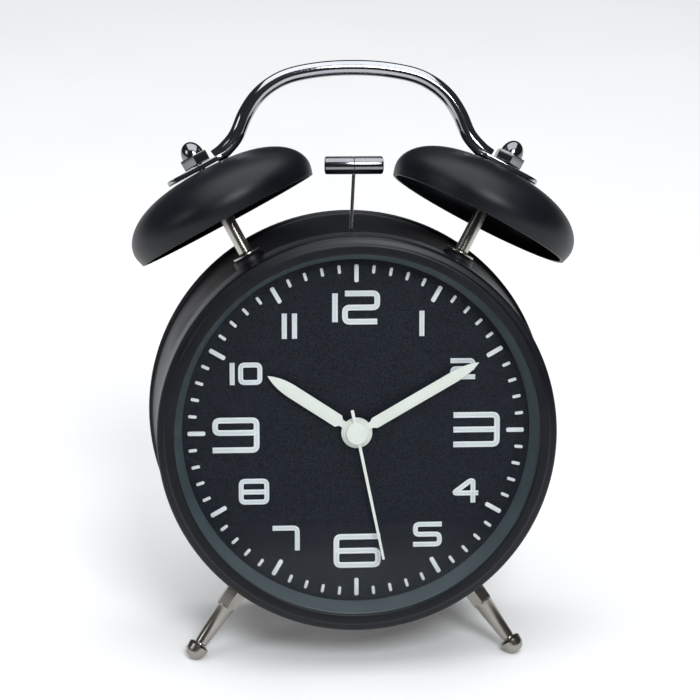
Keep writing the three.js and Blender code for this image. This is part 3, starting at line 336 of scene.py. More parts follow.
# Matt paper lit from behind: a ground that stays white under the shadow.
FLOOR = Finish(
    "pale backdrop paper", "#f4f4f3", "#f1f1f0", roughness=0.8, patch_mm=120, glow=0.12,
)

SLOT_FINISH = {
    "case_paint": CASE_PAINT, "bell_paint": BELL_PAINT, "lens_glass": LENS_CLEAR,
    "ring_grey": RING_GREY, "dial_black": DIAL_BLACK, "black_plastic": BLACK_MOULDING,
    "hand_steel": STEEL, "hand_white": HAND_WHITE, "nylon": NYLON, "steel": STEEL,
    "brass_wheel": BRASS, "magnet": MAGNET, "copper": COPPER, "board_green": BOARD,
    "cell_jacket": JACKET, "knob_plastic": KNOB_BLACK, "switch_grey": SWITCH_GREY,
    "chrome": CHROME, "nut_chrome": DARK_CHROME, "nickel": NICKEL, "leg_nickel": LEG_NICKEL,
}


# ---- frame and mesh helpers
def joint(name: str) -> dict:
    """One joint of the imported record.

    Args:
        name: The joint's name.

    Returns:
        Its record entry.
    """
    return next(j for j in frame["record"]["behaviour"]["joints"] if j["name"] == name)


def face_matrix() -> Matrix:
    """Matrix from the dial's own millimetres (x right, y up, z out) to the row frame.

    Returns:
        The 4 by 4 matrix.
    """
    centre = joint("minute_turn")
    out = -Vector(centre["axis"])
    right = Vector((1, 0, 0))
    up = out.cross(right)
    turn = Matrix((right, up, out)).transposed().to_4x4()
    return Matrix.Translation(centre["pos_m"]) @ turn @ Matrix.Scale(MM, 4)


FACE = face_matrix()


def polar(degrees: float, radius: float) -> Vector:
    """Point on the dial plane.

    Args:
        degrees: Angle clockwise from twelve.
        radius: Distance from the dial's centre, in millimetres.

    Returns:
        The point, with z 0.
    """
    turn = math.radians(degrees)
    return Vector((math.sin(turn) * radius, math.cos(turn) * radius, 0))


def direction(side: int, sideways: float, forwards: float) -> Vector:
    """Unit vector tilted sideways from twelve and then towards the reader.

    Args:
        side: -1 for left, 1 for right.
        sideways: Tilt in degrees.
        forwards: Tilt in degrees.

    Returns:
        The unit vector.
    """
    flat = math.cos(math.radians(forwards))
    turn = math.radians(sideways)
    return Vector((math.sin(turn) * side * flat, math.cos(turn) * flat, math.sin(math.radians(forwards))))


def along(origin: Vector, axis: Vector) -> Matrix:
    """Frame with its z along an axis and its y leaning towards the rear.

    Args:
        origin: Where the frame stands.
        axis: Direction of its z.

    Returns:
        The 4 by 4 matrix.
    """
    z = axis.normalized()
    x = Vector((0, 0, -1)).cross(z).normalized()
    turn = Matrix((x, z.cross(x), z)).transposed().to_4x4()
    return Matrix.Translation(origin) @ turn


def soften(profile: Profile, radius: float, closed: bool = True, steps: int = 4) -> Profile:
    """Rounds the corners of an outline.

    Args:
        profile: Corner points.
        radius: Largest cut back from each corner.
        closed: Whether the last point joins the first.
        steps: Chords per corner.

    Returns:
        The rounded outline.
    """
    points = [Vector(p) for p in profile]
    count = len(points)
    result: Profile = []
    for i, here in enumerate(points):
        if not closed and i in (0, count - 1):
            result.append(tuple(here))
            continue
        before, after = points[i - 1], points[(i + 1) % count]
        cut = min(radius, (here - before).length * 0.45, (here - after).length * 0.45)
        start = here + (before - here).normalized() * cut
        end = here + (after - here).normalized() * cut
        for k in range(steps + 1):
            t = k / steps
            result.append(tuple(start * (1 - t) ** 2 + here * 2 * t * (1 - t) + end * t**2))
    return result


def meshed(name: str, bm: bmesh.types.BMesh) -> bpy.types.Mesh:
    """Turns a bmesh into mesh data and frees it.

    Args:
        name: Name of the data.
        bm: Mesh to turn into data.

    Returns:
        The mesh data.
    """
    mesh = bpy.data.meshes.new(name)
    bm.to_mesh(mesh)
    bm.free()
    return mesh


def shown(name: str, data: bpy.types.ID) -> bpy.types.Object:
    """Puts data into the scene.

    Args:
        name: Name of the object.
        data: Mesh, light or camera data.

    Returns:
        The object.
    """
    obj = bpy.data.objects.new(name, data)
    bpy.context.scene.collection.objects.link(obj)
    return obj


def join(bm: bmesh.types.BMesh, part: bmesh.types.BMesh, place: Matrix) -> None:
    """Adds a finished closed part to a piece.

    Args:
        bm: Mesh of the piece.
        part: Mesh of the part; it is freed.
        place: Where the part stands.
    """
    part.transform(place)
    bmesh.ops.recalc_face_normals(part, faces=part.faces[:])
    carrier = meshed("part", part)
    bm.from_mesh(carrier)
    bpy.data.meshes.remove(carrier)


def turned(
    bm: bmesh.types.BMesh, profile: Profile, steps: int = 96, place: Matrix = Matrix(),
    closed: bool = True,
) -> None:
    """Adds a solid of revolution about z.

    Args:
        bm: Mesh to add to.
        profile: Radius and z of each point; an open profile starts and ends on the axis.
        steps: Facets round it.
        place: Where it stands.
        closed: Whether the profile closes on itself.
    """
    part = bmesh.new()
    verts = [part.verts.new((r, 0, z)) for r, z in profile]
    edges = [part.edges.new(pair) for pair in zip(verts, verts[1:])]
    if closed:
        edges.append(part.edges.new((verts[-1], verts[0])))
    bmesh.ops.spin(
        part, geom=verts + edges, axis=(0, 0, 1), cent=(0, 0, 0), angle=math.tau, steps=steps,
        use_merge=True,
    )
    bmesh.ops.remove_doubles(part, verts=part.verts[:], dist=MERGE_MM)
    join(bm, part, place)


def prism(
    bm: bmesh.types.BMesh, outline: Profile, low: float, high: float,
    place: Matrix = Matrix(), bevel: float = 0.0, segments: int = 2,
) -> None:
    """Adds a plate with an outline, with its top and bottom edges rounded.

    Args:
        bm: Mesh to add to.
        outline: Corner points of the outline.
        low: Bottom of the plate.
        high: Top of the plate.
        place: Where it stands.
        bevel: Size of the rounding.
        segments: Chords in the rounding.
    """
    part = bmesh.new()
    face = part.faces.new([part.verts.new((x, y, low)) for x, y in outline])
    lifted = bmesh.ops.extrude_face_region(part, geom=[face])["geom"]
    top = [v for v in lifted if isinstance(v, bmesh.types.BMVert)]
    bmesh.ops.translate(part, vec=(0, 0, high - low), verts=top)
    if bevel:
        level = [e for e in part.edges if abs(e.verts[0].co.z - e.verts[1].co.z) < 1e-6]
        bmesh.ops.bevel(
            part, geom=level, offset=bevel, segments=segments, profile=0.5, affect="EDGES",
            material=-1,
        )
    join(bm, part, place)


def swept(bm: bmesh.types.BMesh, path: list[Vector], section: Profile) -> None:
    """Adds a bar with a section swept along a path.

    Args:
        bm: Mesh to add to.
        path: Points of the centre line.
        section: Outline across the bar; x lies across the path and y towards the reader.
    """
    part = bmesh.new()
    rings = []
    for i, here in enumerate(path):
        tangent = (path[min(i + 1, len(path) - 1)] - path[max(i - 1, 0)]).normalized()
        across = tangent.cross(Vector((0, 0, 1))).normalized()
        front = across.cross(tangent).normalized()
        rings.append([part.verts.new(here + across * x + front * y) for x, y in section])
    for low, high in zip(rings, rings[1:]):
        for k in range(len(section)):
            j = (k + 1) % len(section)
            part.faces.new((low[k], low[j], high[j], high[k]))
    part.faces.new(rings[0])
    part.faces.new(rings[-1][::-1])
    join(bm, part, Matrix())


def circle(
    radius: float, count: int = 24, middle: tuple[float, float] = (0, 0), start: float = 0.0,
) -> Profile:
    """Points round a circle.

    Args:
        radius: Its radius.
        count: Number of points.
        middle: Its centre.
        start: Angle of the first point, in degrees.

    Returns:
        The points.
    """
    turns = [math.radians(start) + math.tau * i / count for i in range(count)]
    return [(middle[0] + radius * math.cos(t), middle[1] + radius * math.sin(t)) for t in turns]


def stadium(x0: float, x1: float, half: float, corner: float) -> Profile:
    """Rectangle with rounded corners, centred on y 0.

    Args:
        x0: Left end.
        x1: Right end.
        half: Half its height.
        corner: Radius of its corners.

    Returns:
        The outline.
    """
    return soften([(x0, -half), (x1, -half), (x1, half), (x0, half)], corner, steps=5)


class Workshop:
    """Turns finished bmeshes into pieces of the clock."""

    def add(
        self, name: str, bm: bmesh.types.BMesh, finishes: list[Finish], body: str, node: str,
        cut: Matrix | None = None, floor: bool = False,
    ) -> None:
        """Args:
            name: Name of the piece.
            bm: Mesh in dial millimetres; it is freed.
            finishes: Finishes by material index.
            body: Body the piece rides on.
            node: CAD node it stands for; that node is hidden.
            cut: Box to cut away, as a matrix on a 2 mm cube in dial millimetres.
            floor: Whether the piece is cut off flat at the table.
        """
        bm.transform(FACE)
        if floor:
            self._level(bm)
        bmesh.ops.recalc_face_normals(bm, faces=bm.faces[:])
        for face in bm.faces:
            face.smooth = True
        for edge in bm.edges:
            edge.smooth = len(edge.link_faces) != 2 or edge.calc_face_angle(0) < SMOOTH_ANGLE
        obj = shown(name, meshed(name, bm))
        for finish in finishes:
            obj.data.materials.append(finish.material())
        if cut is not None:
            self._cut(obj, cut)
        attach(obj, body)
        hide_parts(node)
        LOG.info("%s: %d faces on %s", name, len(obj.data.polygons), body)

    def _level(self, bm: bmesh.types.BMesh) -> None:
        """Cuts a mesh off at the table and closes it there.

        Args:
            bm: Mesh in the row frame.
        """
        made = bmesh.ops.bisect_plane(
            bm, geom=bm.verts[:] + bm.edges[:] + bm.faces[:], plane_co=(0, 0, TABLE_Z),
            plane_no=(0, 0, -1), clear_outer=True,
        )["geom_cut"]
        edges = [g for g in made if isinstance(g, bmesh.types.BMEdge)]
        bmesh.ops.holes_fill(bm, edges=edges, sides=0)

    def _cut(self, obj: bpy.types.Object, cut: Matrix) -> None:
        """Cuts a box out of a piece for good.

        Args:
            obj: Piece to cut.
            cut: Matrix of the box, on a 2 mm cube in dial millimetres.
        """
        bm = bmesh.new()
        bmesh.ops.create_cube(bm, size=2, matrix=FACE @ cut)
        bmesh.ops.recalc_face_normals(bm, faces=bm.faces[:])
        cutter = shown("cutter", meshed("cutter", bm))
        step = obj.modifiers.new("cut", "BOOLEAN")
        step.operation = "DIFFERENCE"
        step.solver = "EXACT"
        step.object = cutter
        bpy.context.view_layer.update()
        posed = obj.evaluated_get(bpy.context.evaluated_depsgraph_get())
        shaped = bpy.data.meshes.new_from_object(posed)
        obj.modifiers.clear()
        obj.data = shaped
        bpy.data.objects.remove(cutter)


def slot_of(node: str) -> str:
    """Material slot the record gives a node.

    Args:
        node: Name of the CAD node.

    Returns:
        The slot's name.
    """
    return next(s["material_slot"] for s in frame["record"]["subparts"] if s["node"] == node)


# ---- sub-assemblies
@dataclass
class CaseShell:
    """Drum, bezel, window and sloping ring, in millimetres."""

    bezel_r: float = 52.2
    front: float = 7.6
    lip_r: float = 47.4
    neck_r: float = 50.9
    wall: float = 0.9
    rear_r: float = 54.2
    rim_r: float = 54.95
    back: float = -35.55
    seat_proud: float = 1.1
    seat_depth: float = 1.5
    seat_edge: float = 0.35
    post_seat_r: float = 4.3
    leg_seat_r: float = 3.4
    slot: tuple[float, float, float, float] = (-4.3, 2.3, -11.4, -8.6)
    slot_y: float = 52.5
    slot_reach: float = 4.0
    facets: int = 160
    ring_section: Profile = field(
        default_factory=lambda: [(45.4, 0.3), (49.6, 0.3), (49.6, 4.6), (47.7, 4.6)]
    )
    window_section: Profile = field(
        default_factory=lambda: [(0, 4.9), (49.3, 4.9), (49.6, 5.2), (49.6, 6.1), (49.3, 6.4), (0, 6.4)]
    )

    def build(self, shop: Workshop, bells: "Bells", legs: "Legs") -> None:
        """Builds the shell.

        Args:
            shop: Where pieces are made.
            bells: Gives the post frames.
            legs: Gives the leg frames.
        """
        self._bezel(shop)
        self._drum(shop, bells, legs)
        bm = bmesh.new()
        turned(bm, soften(self.ring_section, 0.3), self.facets)
        shop.add("sloping_ring", bm, [RING_GREY], "case", "rehaut_ring")
        bm = bmesh.new()
        turned(bm, self.window_section, 128, closed=False)
        shop.add("window", bm, [LENS_CLEAR], "case", "lens")

    def _bezel(self, shop: Workshop) -> None:
        """Builds the rolled bezel round the window.

        Args:
            shop: Where pieces are made.
        """
        r, f = self.bezel_r, self.front
        outline = [
            (self.lip_r, f - 0.9), (self.lip_r, f), (49.75, f), (50.2, f - 0.45), (r - 0.25, f - 1.0),
            (r, -3.5), (r - 1, -3.5), (r - 1, f - 1.6), (49.8, f - 0.9),
        ]
        bm = bmesh.new()
        turned(bm, soften(outline, 0.8, steps=5), self.facets)
        shop.add("bezel_shell", bm, [CASE_PAINT], "case", "bezel")

    def _drum(self, shop: Workshop, bells: "Bells", legs: "Legs") -> None:
        """Builds the flared drum, with a raised seat under each post and leg.

        Args:
            shop: Where pieces are made.
            bells: Gives the post frames.
            legs: Gives the leg frames.
        """
        neck, rear = self.neck_r, self.rear_r
        flare = [(neck, 6.4), (neck, -4.5), (neck + 0.7, -13), (neck + 1.9, -24)]
        rim = [(rear - 0.2, -32.6), (self.rim_r, -33.0), (self.rim_r, self.back)]
        inner = [(rear - self.wall, self.back), (rear - self.wall, -33.0)]
        inner += [(neck - self.wall, -3.8), (neck - self.wall, 6.4)]
        bm = bmesh.new()
        turned(bm, soften(flare + rim + inner, 1.2, steps=5), self.facets)
        drop = Matrix.Translation((0, 0, -bells.reach))
        seats = [(place @ drop, self.post_seat_r) for place in bells.frames()]
        seats += [(place, self.leg_seat_r) for place in legs.frames()]
        for place, radius in seats:
            seat = [
                (0, -self.seat_depth), (radius, -self.seat_depth),
                (radius, self.seat_proud - self.seat_edge),
                (radius - self.seat_edge, self.seat_proud), (0, self.seat_proud),
            ]
            turned(bm, seat, 40, place, closed=False)
        x0, x1, z0, z1 = self.slot
        middle = Matrix.Translation(((x0 + x1) / 2, self.slot_y, (z0 + z1) / 2))
        cut = middle @ Matrix.Diagonal(((x1 - x0) / 2, self.slot_reach, (z1 - z0) / 2, 1))
        shop.add("case_shell", bm, [CASE_PAINT], "case", "case_drum", cut=cut, floor=True)


@dataclass
class Figure:
    """One numeral: strokes as centre lines in dial millimetres, with a pen width."""

    pen: float
    strokes: list[tuple[bool, list[tuple[float, float]]]]


@dataclass
class Dial:
    """Grained dial with raised numerals and ticks, in millimetres."""

    radius: float = 49.6
    hole: float = 3.0
    height: float = 0.4
    tick_outer: float = 44.1
    hour_tick: tuple[float, float] = (4.66, 1.15)
    minute_tick: tuple[float, float] = (2.2, 0.8)
    root: float = -0.3
    groove: float = 0.08
    figures: list[Figure] = field(default_factory=lambda: [
        Figure(1.5, [
            (False, [(-5.6, 29.05), (-5.6, 36.55)]),
            (False, [(-3.0, 36.5), (5.4, 36.5), (5.4, 32.8), (-3.0, 32.8), (-3.0, 29.1), (5.4, 29.1)]),
        ]),
        Figure(1.35, [(False, [(17.05, 25.2), (17.05, 31.8)])]),
        Figure(1.3, [(False, [
            (24.6, 18.55), (30.55, 18.55), (30.55, 16.4), (25.15, 16.4), (25.15, 14.25), (31.1, 14.25),
        ])]),
        Figure(1.5, [
            (False, [(25.5, 4.1), (37.0, 4.1), (37.0, -3.75), (25.5, -3.75)]),
            (False, [(25.5, 0.2), (36.6, 0.2)]),
        ]),
        Figure(1.3, [
            (False, [(30.8, -19.4), (30.8, -13.6), (30.0, -13.6), (25.6, -16.85), (32.2, -16.85)]),
        ]),
        Figure(1.3, [(False, [
            (22.6, -25.15), (15.6, -25.15), (15.6, -27.85), (22.0, -27.85), (22.0, -30.55), (15.0, -30.55),
        ])]),
        Figure(1.5, [
            (True, [(5.7, -32.0), (5.7, -35.85), (-5.3, -35.85), (-5.3, -32.0)]),
            (False, [(-5.3, -33.5), (-5.3, -28.2), (6.3, -28.2)]),
        ]),
        Figure(1.3, [(False, [(-22.1, -25.6), (-15.6, -25.6), (-15.6, -31.6)])]),
        Figure(1.3, [
            (True, [(-30.25, -12.85), (-23.55, -12.85), (-23.55, -18.45), (-30.25, -18.45)]),
            (False, [(-29.9, -15.75), (-23.9, -15.75)]),
        ]),
        Figure(1.5, [
            (True, [(-36.9, 0.1), (-36.9, 3.4), (-26.1, 3.4), (-26.1, 0.1)]),
            (False, [(-26.1, 1.5), (-26.1, -4.5), (-37.6, -4.5)]),
        ]),
        Figure(1.3, [
            (False, [(-32.35, 12.8), (-32.35, 18.6)]),
            (True, [(-30.15, 18.0), (-25.15, 18.0), (-25.15, 13.4), (-30.15, 13.4)]),
        ]),
        Figure(1.35, [
            (False, [(-18.75, 24.8), (-18.75, 31.4)]),
            (False, [(-16.1, 24.8), (-16.1, 31.4)]),
        ]),
    ])

    def build(self, shop: Workshop) -> None:
        """Builds the dial.

        Args:
            shop: Where pieces are made.
        """
        bm = bmesh.new()
        turned(bm, [(self.hole, -1), (self.radius, -1), (self.radius, 0), (self.hole, 0)], 128)
        shop.add("dial_plate", bm, [DIAL_BLACK], "case", "dial")
        bm = bmesh.new()
        for minute in range(60):
            length, width = self.hour_tick if minute % 5 == 0 else self.minute_tick
            place = Matrix.Rotation(-math.radians(minute * 6), 4, "Z")
            shape = stadium(-width / 2, width / 2, length / 2, width * 0.45)
            middle = Matrix.Translation((0, self.tick_outer - length / 2, 0))
            prism(bm, shape, self.root, self.height, place @ middle, 0.12, 2)
        shop.add("dial_ticks", bm, [FIGURE_WHITE], "case", "dial")
        bm = bmesh.new()
        for figure in self.figures:
            for level, (loop, line) in enumerate(figure.strokes):
                self._stroke(bm, line, loop, figure.pen, self.height - 0.015 * level)
        # The second finish is the grey painted shade in each stroke's groove.
        shop.add("dial_numerals", bm, [FIGURE_WHITE, FIGURE_GROOVE_SHADE], "case", "dial")

    def _stroke(
        self, bm: bmesh.types.BMesh, line: Profile, loop: bool, pen: float, top: float,
    ) -> None:
        """Adds one raised stroke: a ridge with a shallow groove along it, whose faces are coloured grey as
        painted shade.

        Args:
            bm: Mesh to add to.
            line: Centre line.
            loop: Whether it closes on itself.
            pen: Width of the stroke.
            top: Height of its ridges.
        """
        points = [Vector(p) for p in soften(line, pen * 0.85, closed=loop, steps=5)]
        half = pen / 2
        rows = [
            (half, self.root, 0), (half, top * 0.55, 0), (half * 0.78, top, 0), (half * 0.45, top, 1),
            (half * 0.4, top - self.groove, 1),
        ]
        rows = rows + [(-w, z, m) for w, z, m in reversed(rows)]
        part = bmesh.new()
        rings = []
        count = len(points)
        for i, here in enumerate(points):
            before = points[i - 1] if loop or i > 0 else None
            after = points[(i + 1) % count] if loop or i < count - 1 else None
            into = (here - before).normalized() if before is not None else (after - here).normalized()
            out = (after - here).normalized() if after is not None else into
            normal = Vector((-into.y - out.y, into.x + out.x)).normalized()
            reach = 1 / max(MITRE_LIMIT, normal.dot(Vector((-into.y, into.x))))
            spots = [(here.x + normal.x * w * reach, here.y + normal.y * w * reach, z) for w, z, _ in rows]
            rings.append([part.verts.new(spot) for spot in spots])
        pairs = list(zip(rings, rings[1:])) + ([(rings[-1], rings[0])] if loop else [])
        for low, high in pairs:
            for k in range(len(rows)):
                j = (k + 1) % len(rows)
                face = part.faces.new((low[k], low[j], high[j], high[k]))
                # Faces of the groove take the second finish, a grey painted shade that stands in for the
                # shadow in the groove.
                face.material_index = 1 if rows[k][2] and rows[j][2] else 0
        if not loop:
            part.faces.new(rings[0])
            part.faces.new(rings[-1][::-1])
        join(bm, part, Matrix())


@dataclass
class Hand:
    """A hand cut from sheet, in millimetres."""

    name: str
    body: str
    length: float
    width: float
    hub: float
    hole: float
    front: float
    angle: float
    neck: float = 1.8
    tip: float = 7.2
    wall: float = 0.35

    def build(self, shop: Workshop) -> None:
        """Builds the hand.

        Args:
            shop: Where pieces are made.
        """
        half, neck = self.width / 2, self.neck / 2
        root, back = self.length - self.tip, self.front - self.wall
        side = [(neck, self.hub * 0.7), (neck, self.hub + 0.9), (half, self.hub + 1.7), (half, root)]
        arch = []
        for k in range(1, 10):
            t = k / 10
            near, mid, far = (1 - t) ** 2, 2 * t * (1 - t), t * t
            y = near * root + mid * (self.length - self.tip * 0.4) + far * self.length
            arch.append((half * near + mid * half * 0.92, y))
        right = side + arch
        outline = right + [(0, self.length)] + [(-x, y) for x, y in reversed(right)]
        place = Matrix.Rotation(-math.radians(self.angle), 4, "Z")
        bm = bmesh.new()
        prism(bm, outline, back, self.front, place, 0.09, 2)
        disc = [
            (self.hole, back), (self.hub - 0.12, back), (self.hub, back + 0.12),
            (self.hub, self.front - 0.1), (self.hub - 0.1, self.front + 0.01),
            (self.hole, self.front + 0.01),
        ]
        turned(bm, disc, 64)
        shop.add(f"{self.name}_sheet", bm, [HAND_WHITE], self.body, self.name)


@dataclass
class SecondHand:
    """Needle with a domed cap, in millimetres."""

    length: float = 34.5
    width: float = 0.85
    tail: float = 6.4
    cap: float = 3.0
    front: float = 3.15
    wall: float = 0.35
    taper: float = 0.8
    angle: float = 168.3

    def build(self, shop: Workshop) -> None:
        """Builds the second hand.

        Args:
            shop: Where pieces are made.
        """
        half, back = self.width / 2, self.front - self.wall
        place = Matrix.Rotation(-math.radians(self.angle), 4, "Z")
        bm = bmesh.new()
        outline = [
            (-half, -self.tail), (half, -self.tail),
            (half * self.taper, self.length), (-half * self.taper, self.length),
        ]
        prism(bm, soften(outline, 0.25), back, self.front, place, 0.07, 2)
        dome = [
            (0, back), (self.cap, back), (self.cap, self.front), (self.cap - 0.25, self.front + 0.35),
            (self.cap - 0.9, self.front + 0.5), (0, self.front + 0.55),
        ]
        turned(bm, dome, 64, closed=False)
        shop.add("second_needle", bm, [HAND_WHITE], "second", "second_hand")


@dataclass
class Bells:
    """Two bells on posts, with washers and cap nuts, in millimetres."""

    rim_r: float = 25.2
    max_r: float = 25.95
    height: float = 14.55
    wall: float = 0.9
    tilt: float = 28.25
    back_tilt: float = 6.8
    ring: float = 63.7
    polar_angle: float = 31.1
    depth: float = -11.4
    belly: float = 3.2
    fullness: float = 0.78
    post_r: float = 1.8
    bore_r: float = 1.6
    stud_r: float = 1.3
    stud_top: float = 20.4
    washer_r: float = 3.8
    washer_wall: float = 0.6
    gap: float = 0.3
    nut_corner: float = 4.15
    nut_height: float = 2.7
    nut_dome: tuple[float, float] = (3.0, 3.85)
    seat_proud: float = 1.1
    reach: float = 11.9
    strap_base: float = 14.9
    strap_wall: float = 1.2

    def frames(self) -> list[Matrix]:
        """Frames at the bells' rims, left and then right.

        Returns:
            The two matrices.
        """
        result = []
        for side in (-1, 1):
            centre = polar(side * self.polar_angle, self.ring) + Vector((0, 0, self.depth))
            result.append(along(centre, direction(side, self.tilt, -self.back_tilt)))
        return result

    def dome(self, inset: float) -> Profile:
        """Half outline from the rim to the crown.

        Args:
            inset: Distance inside the outer skin.

        Returns:
            Radius and height of each point.
        """
        top, wide, rim = self.height - inset, self.max_r - inset, self.rim_r - inset
        points = [(rim, 0.0), (rim + 0.35, 1.1), (wide - 0.12, 2.2), (wide, self.belly)]
        for i in range(1, 21):
            angle = (i / 20) * (math.pi / 2) * 0.985
            height = self.belly + (top - self.belly) * math.sin(angle)
            points.append((wide * math.cos(angle) ** self.fullness, height))
        return points

    def build(self, shop: Workshop) -> None:
        """Builds both bells and what holds them.

        Args:
            shop: Where pieces are made.
        """
        for word, place in zip(("left", "right"), self.frames()):
            bm = bmesh.new()
            hole = [(self.bore_r, self.height), (self.bore_r, self.height - self.wall)]
            lip = [(self.rim_r - self.wall * 0.5, -0.02)]
            outline = lip + self.dome(0) + hole + self.dome(self.wall)[::-1]
            turned(bm, outline, 144, place)
            shop.add(f"bell_dome_{word}", bm, [BELL_PAINT], "case", f"bell_{word}")

            bm = bmesh.new()
            low = self.seat_proud + self.gap - self.reach
            base = low + self.washer_wall + self.gap
            top = self.height - self.wall - self.gap
            post = [
                (0, base), (self.post_r - 0.15, base), (self.post_r, base + 0.2),
                (self.post_r, top - 0.2), (self.post_r - 0.2, top), (self.stud_r, top),
                (self.stud_r, self.stud_top), (0, self.stud_top),
            ]
            turned(bm, post, 48, place, closed=False)
            shop.add(f"post_{word}", bm, [NICKEL], "case", f"bell_post_{word}")

            bm = bmesh.new()
            lift = low + self.washer_wall
            ring = [(self.bore_r, low), (self.washer_r, low), (self.washer_r, lift), (self.bore_r, lift)]
            turned(bm, soften(ring, 0.2), 64, place)
            shop.add(f"washer_{word}", bm, [NICKEL], "case", f"post_washer_{word}")

            bm = bmesh.new()
            foot = self.strap_base + self.strap_wall + self.gap
            crown = foot + self.nut_height
            prism(bm, circle(self.nut_corner, 6, start=90), foot, crown, place, 0.22, 3)
            wide, tall = self.nut_dome
            turns = [math.pi / 2 * i / 12 for i in range(12)]
            dome = [(0, crown - 0.4), (wide, crown - 0.4)]
            dome += [(wide * math.cos(t), crown + tall * math.sin(t)) for t in turns]
            turned(bm, [*dome, (0, crown + tall)], 64, place, closed=False)
            shop.add(f"acorn_{word}", bm, [DARK_CHROME], "case", f"cap_nut_{word}")


@dataclass
class Handle:
    """Round bar arched over the bells, flattened into a strap under each cap nut, in millimetres."""

    bar_r: float = 2.05
    strap_inner: float = 8.6
    strap_outer: float = 9.4
    strap_half: float = 3.8
    top: float = 94.0
    half: tuple[tuple[float, float], ...] = (
        (30.6, 76.5), (28.2, 81.9), (25.2, 86.4), (21.0, 89.9), (15.8, 92.2), (8.0, 93.6),
    )

    def build(self, shop: Workshop, bells: Bells) -> None:
        """Builds the handle.

        Args:
            shop: Where pieces are made.
            bells: Gives the frames the straps lie in.
        """
        bm = bmesh.new()
        slope = math.tan(math.radians(bells.back_tilt))
        rim_y = polar(bells.polar_angle, bells.ring).y
        frames = bells.frames()

        def arch(x: float, y: float) -> Vector:
            """Point of the arch, which leans back with the bells."""
            return Vector((x, y, bells.depth - (y - rim_y) * slope))

        def end(side: int, run: float, lift: float) -> Vector:
            """Point above the strap of one bell, 0 for left and 1 for right."""
            out = -1 if side == 0 else 1
            return frames[side] @ Vector((-out * run, 0, bells.strap_base + lift))

        knots = [end(0, self.strap_inner - 3.6, 1.15), end(0, self.strap_inner - 0.6, 1.7)]
        knots += [arch(-x, y) for x, y in self.half] + [arch(0, self.top)]
        knots += [arch(x, y) for x, y in reversed(self.half)]
        knots += [end(1, self.strap_inner - 0.6, 1.7), end(1, self.strap_inner - 3.6, 1.15)]
        swept(bm, catmull(knots, 10), circle(self.bar_r, 24))
        low, high = bells.strap_base, bells.strap_base + bells.strap_wall
        for out, place in zip((-1, 1), frames):
            x0, x1 = sorted((-out * self.strap_inner, out * self.strap_outer))
            prism(bm, stadium(x0, x1, self.strap_half, 3.3), low, high, place, 0.25, 3)
        shop.add("handle_bar", bm, [CHROME], "case", "handle")


def catmull(knots: list[Vector], steps: int) -> list[Vector]:
    """Smooth line through points.

    Args:
        knots: The points.
        steps: Chords between neighbours.

    Returns:
        Points of the line.
    """
    full = [knots[0] * 2 - knots[1], *knots, knots[-1] * 2 - knots[-2]]
    line = []
    for a, b, c, d in zip(full, full[1:], full[2:], full[3:]):
        for k in range(steps):
            t = k / steps
            square, cube = 2 * a - 5 * b + 4 * c - d, 3 * b - a - 3 * c + d
            line.append(0.5 * (2 * b + (c - a) * t + square * t**2 + cube * t**3))
    return [*line, knots[-1]]


@dataclass
class Hammer:
    """Striker head on its wire, in millimetres."""

    length: float = 15.4
    radius: float = 2.35
    height: float = 68.9
    depth: float = -10.0
    lean: float = 2.7
    wire_r: float = 0.45
    wire_start: float = 1.9
    pivot: float = 34.0

    def build(self, shop: Workshop) -> None:
        """Builds the head and the arm.

        Args:
            shop: Where pieces are made.
        """
        half, r = self.length / 2, self.radius
        profile = [
            (0, -half), (r - 0.55, -half), (r - 0.12, -half + 0.22), (r, -half + 0.6),
            (r, -0.14), (r - 0.12, 0), (r, 0.14),
            (r, half - 0.6), (r - 0.12, half - 0.22), (r - 0.55, half), (0, half),
        ]
        bm = bmesh.new()
        place = Matrix.Translation((0, self.height, self.depth)) @ Matrix.Rotation(math.pi / 2, 4, "Y")
        turned(bm, profile, 64, place, closed=False)
        shop.add("striker_head", bm, [DARK_CHROME], "hammer", "hammer_head")

        bm = bmesh.new()
        run = (self.height - self.pivot) / math.cos(math.radians(self.lean))
        foot = Vector((-run * math.sin(math.radians(self.lean)), self.pivot, self.depth))
        head = Vector((0, self.height - self.radius + 1, self.depth))
        axis = (head - foot).normalized()
        reach = (head - foot).length
        stem = [(0, self.wire_start), (self.wire_r, self.wire_start), (self.wire_r, reach), (0, reach)]
        turned(bm, stem, 20, along(foot, axis), closed=False)
        hub = [(1.2, -2), (2.6, -2), (2.6, 2), (1.2, 2)]
        turned(bm, soften(hub, 0.25), 32, Matrix.Translation(foot))
        lean = Matrix.Translation(foot) @ Matrix.Rotation(-math.radians(self.lean), 4, "Z")
        prism(bm, [(1.2, 2.5), (2.4, 2.5), (2.4, 9.5), (1.2, 9.5)], -2.4, 2.4, lean, 0.15)
        prism(bm, [(-0.6, 2), (1.6, 2), (1.6, 8.6), (-0.6, 8.6)], -1, 1, lean)
        shop.add("striker_wire", bm, [NICKEL], "hammer", "hammer_arm")


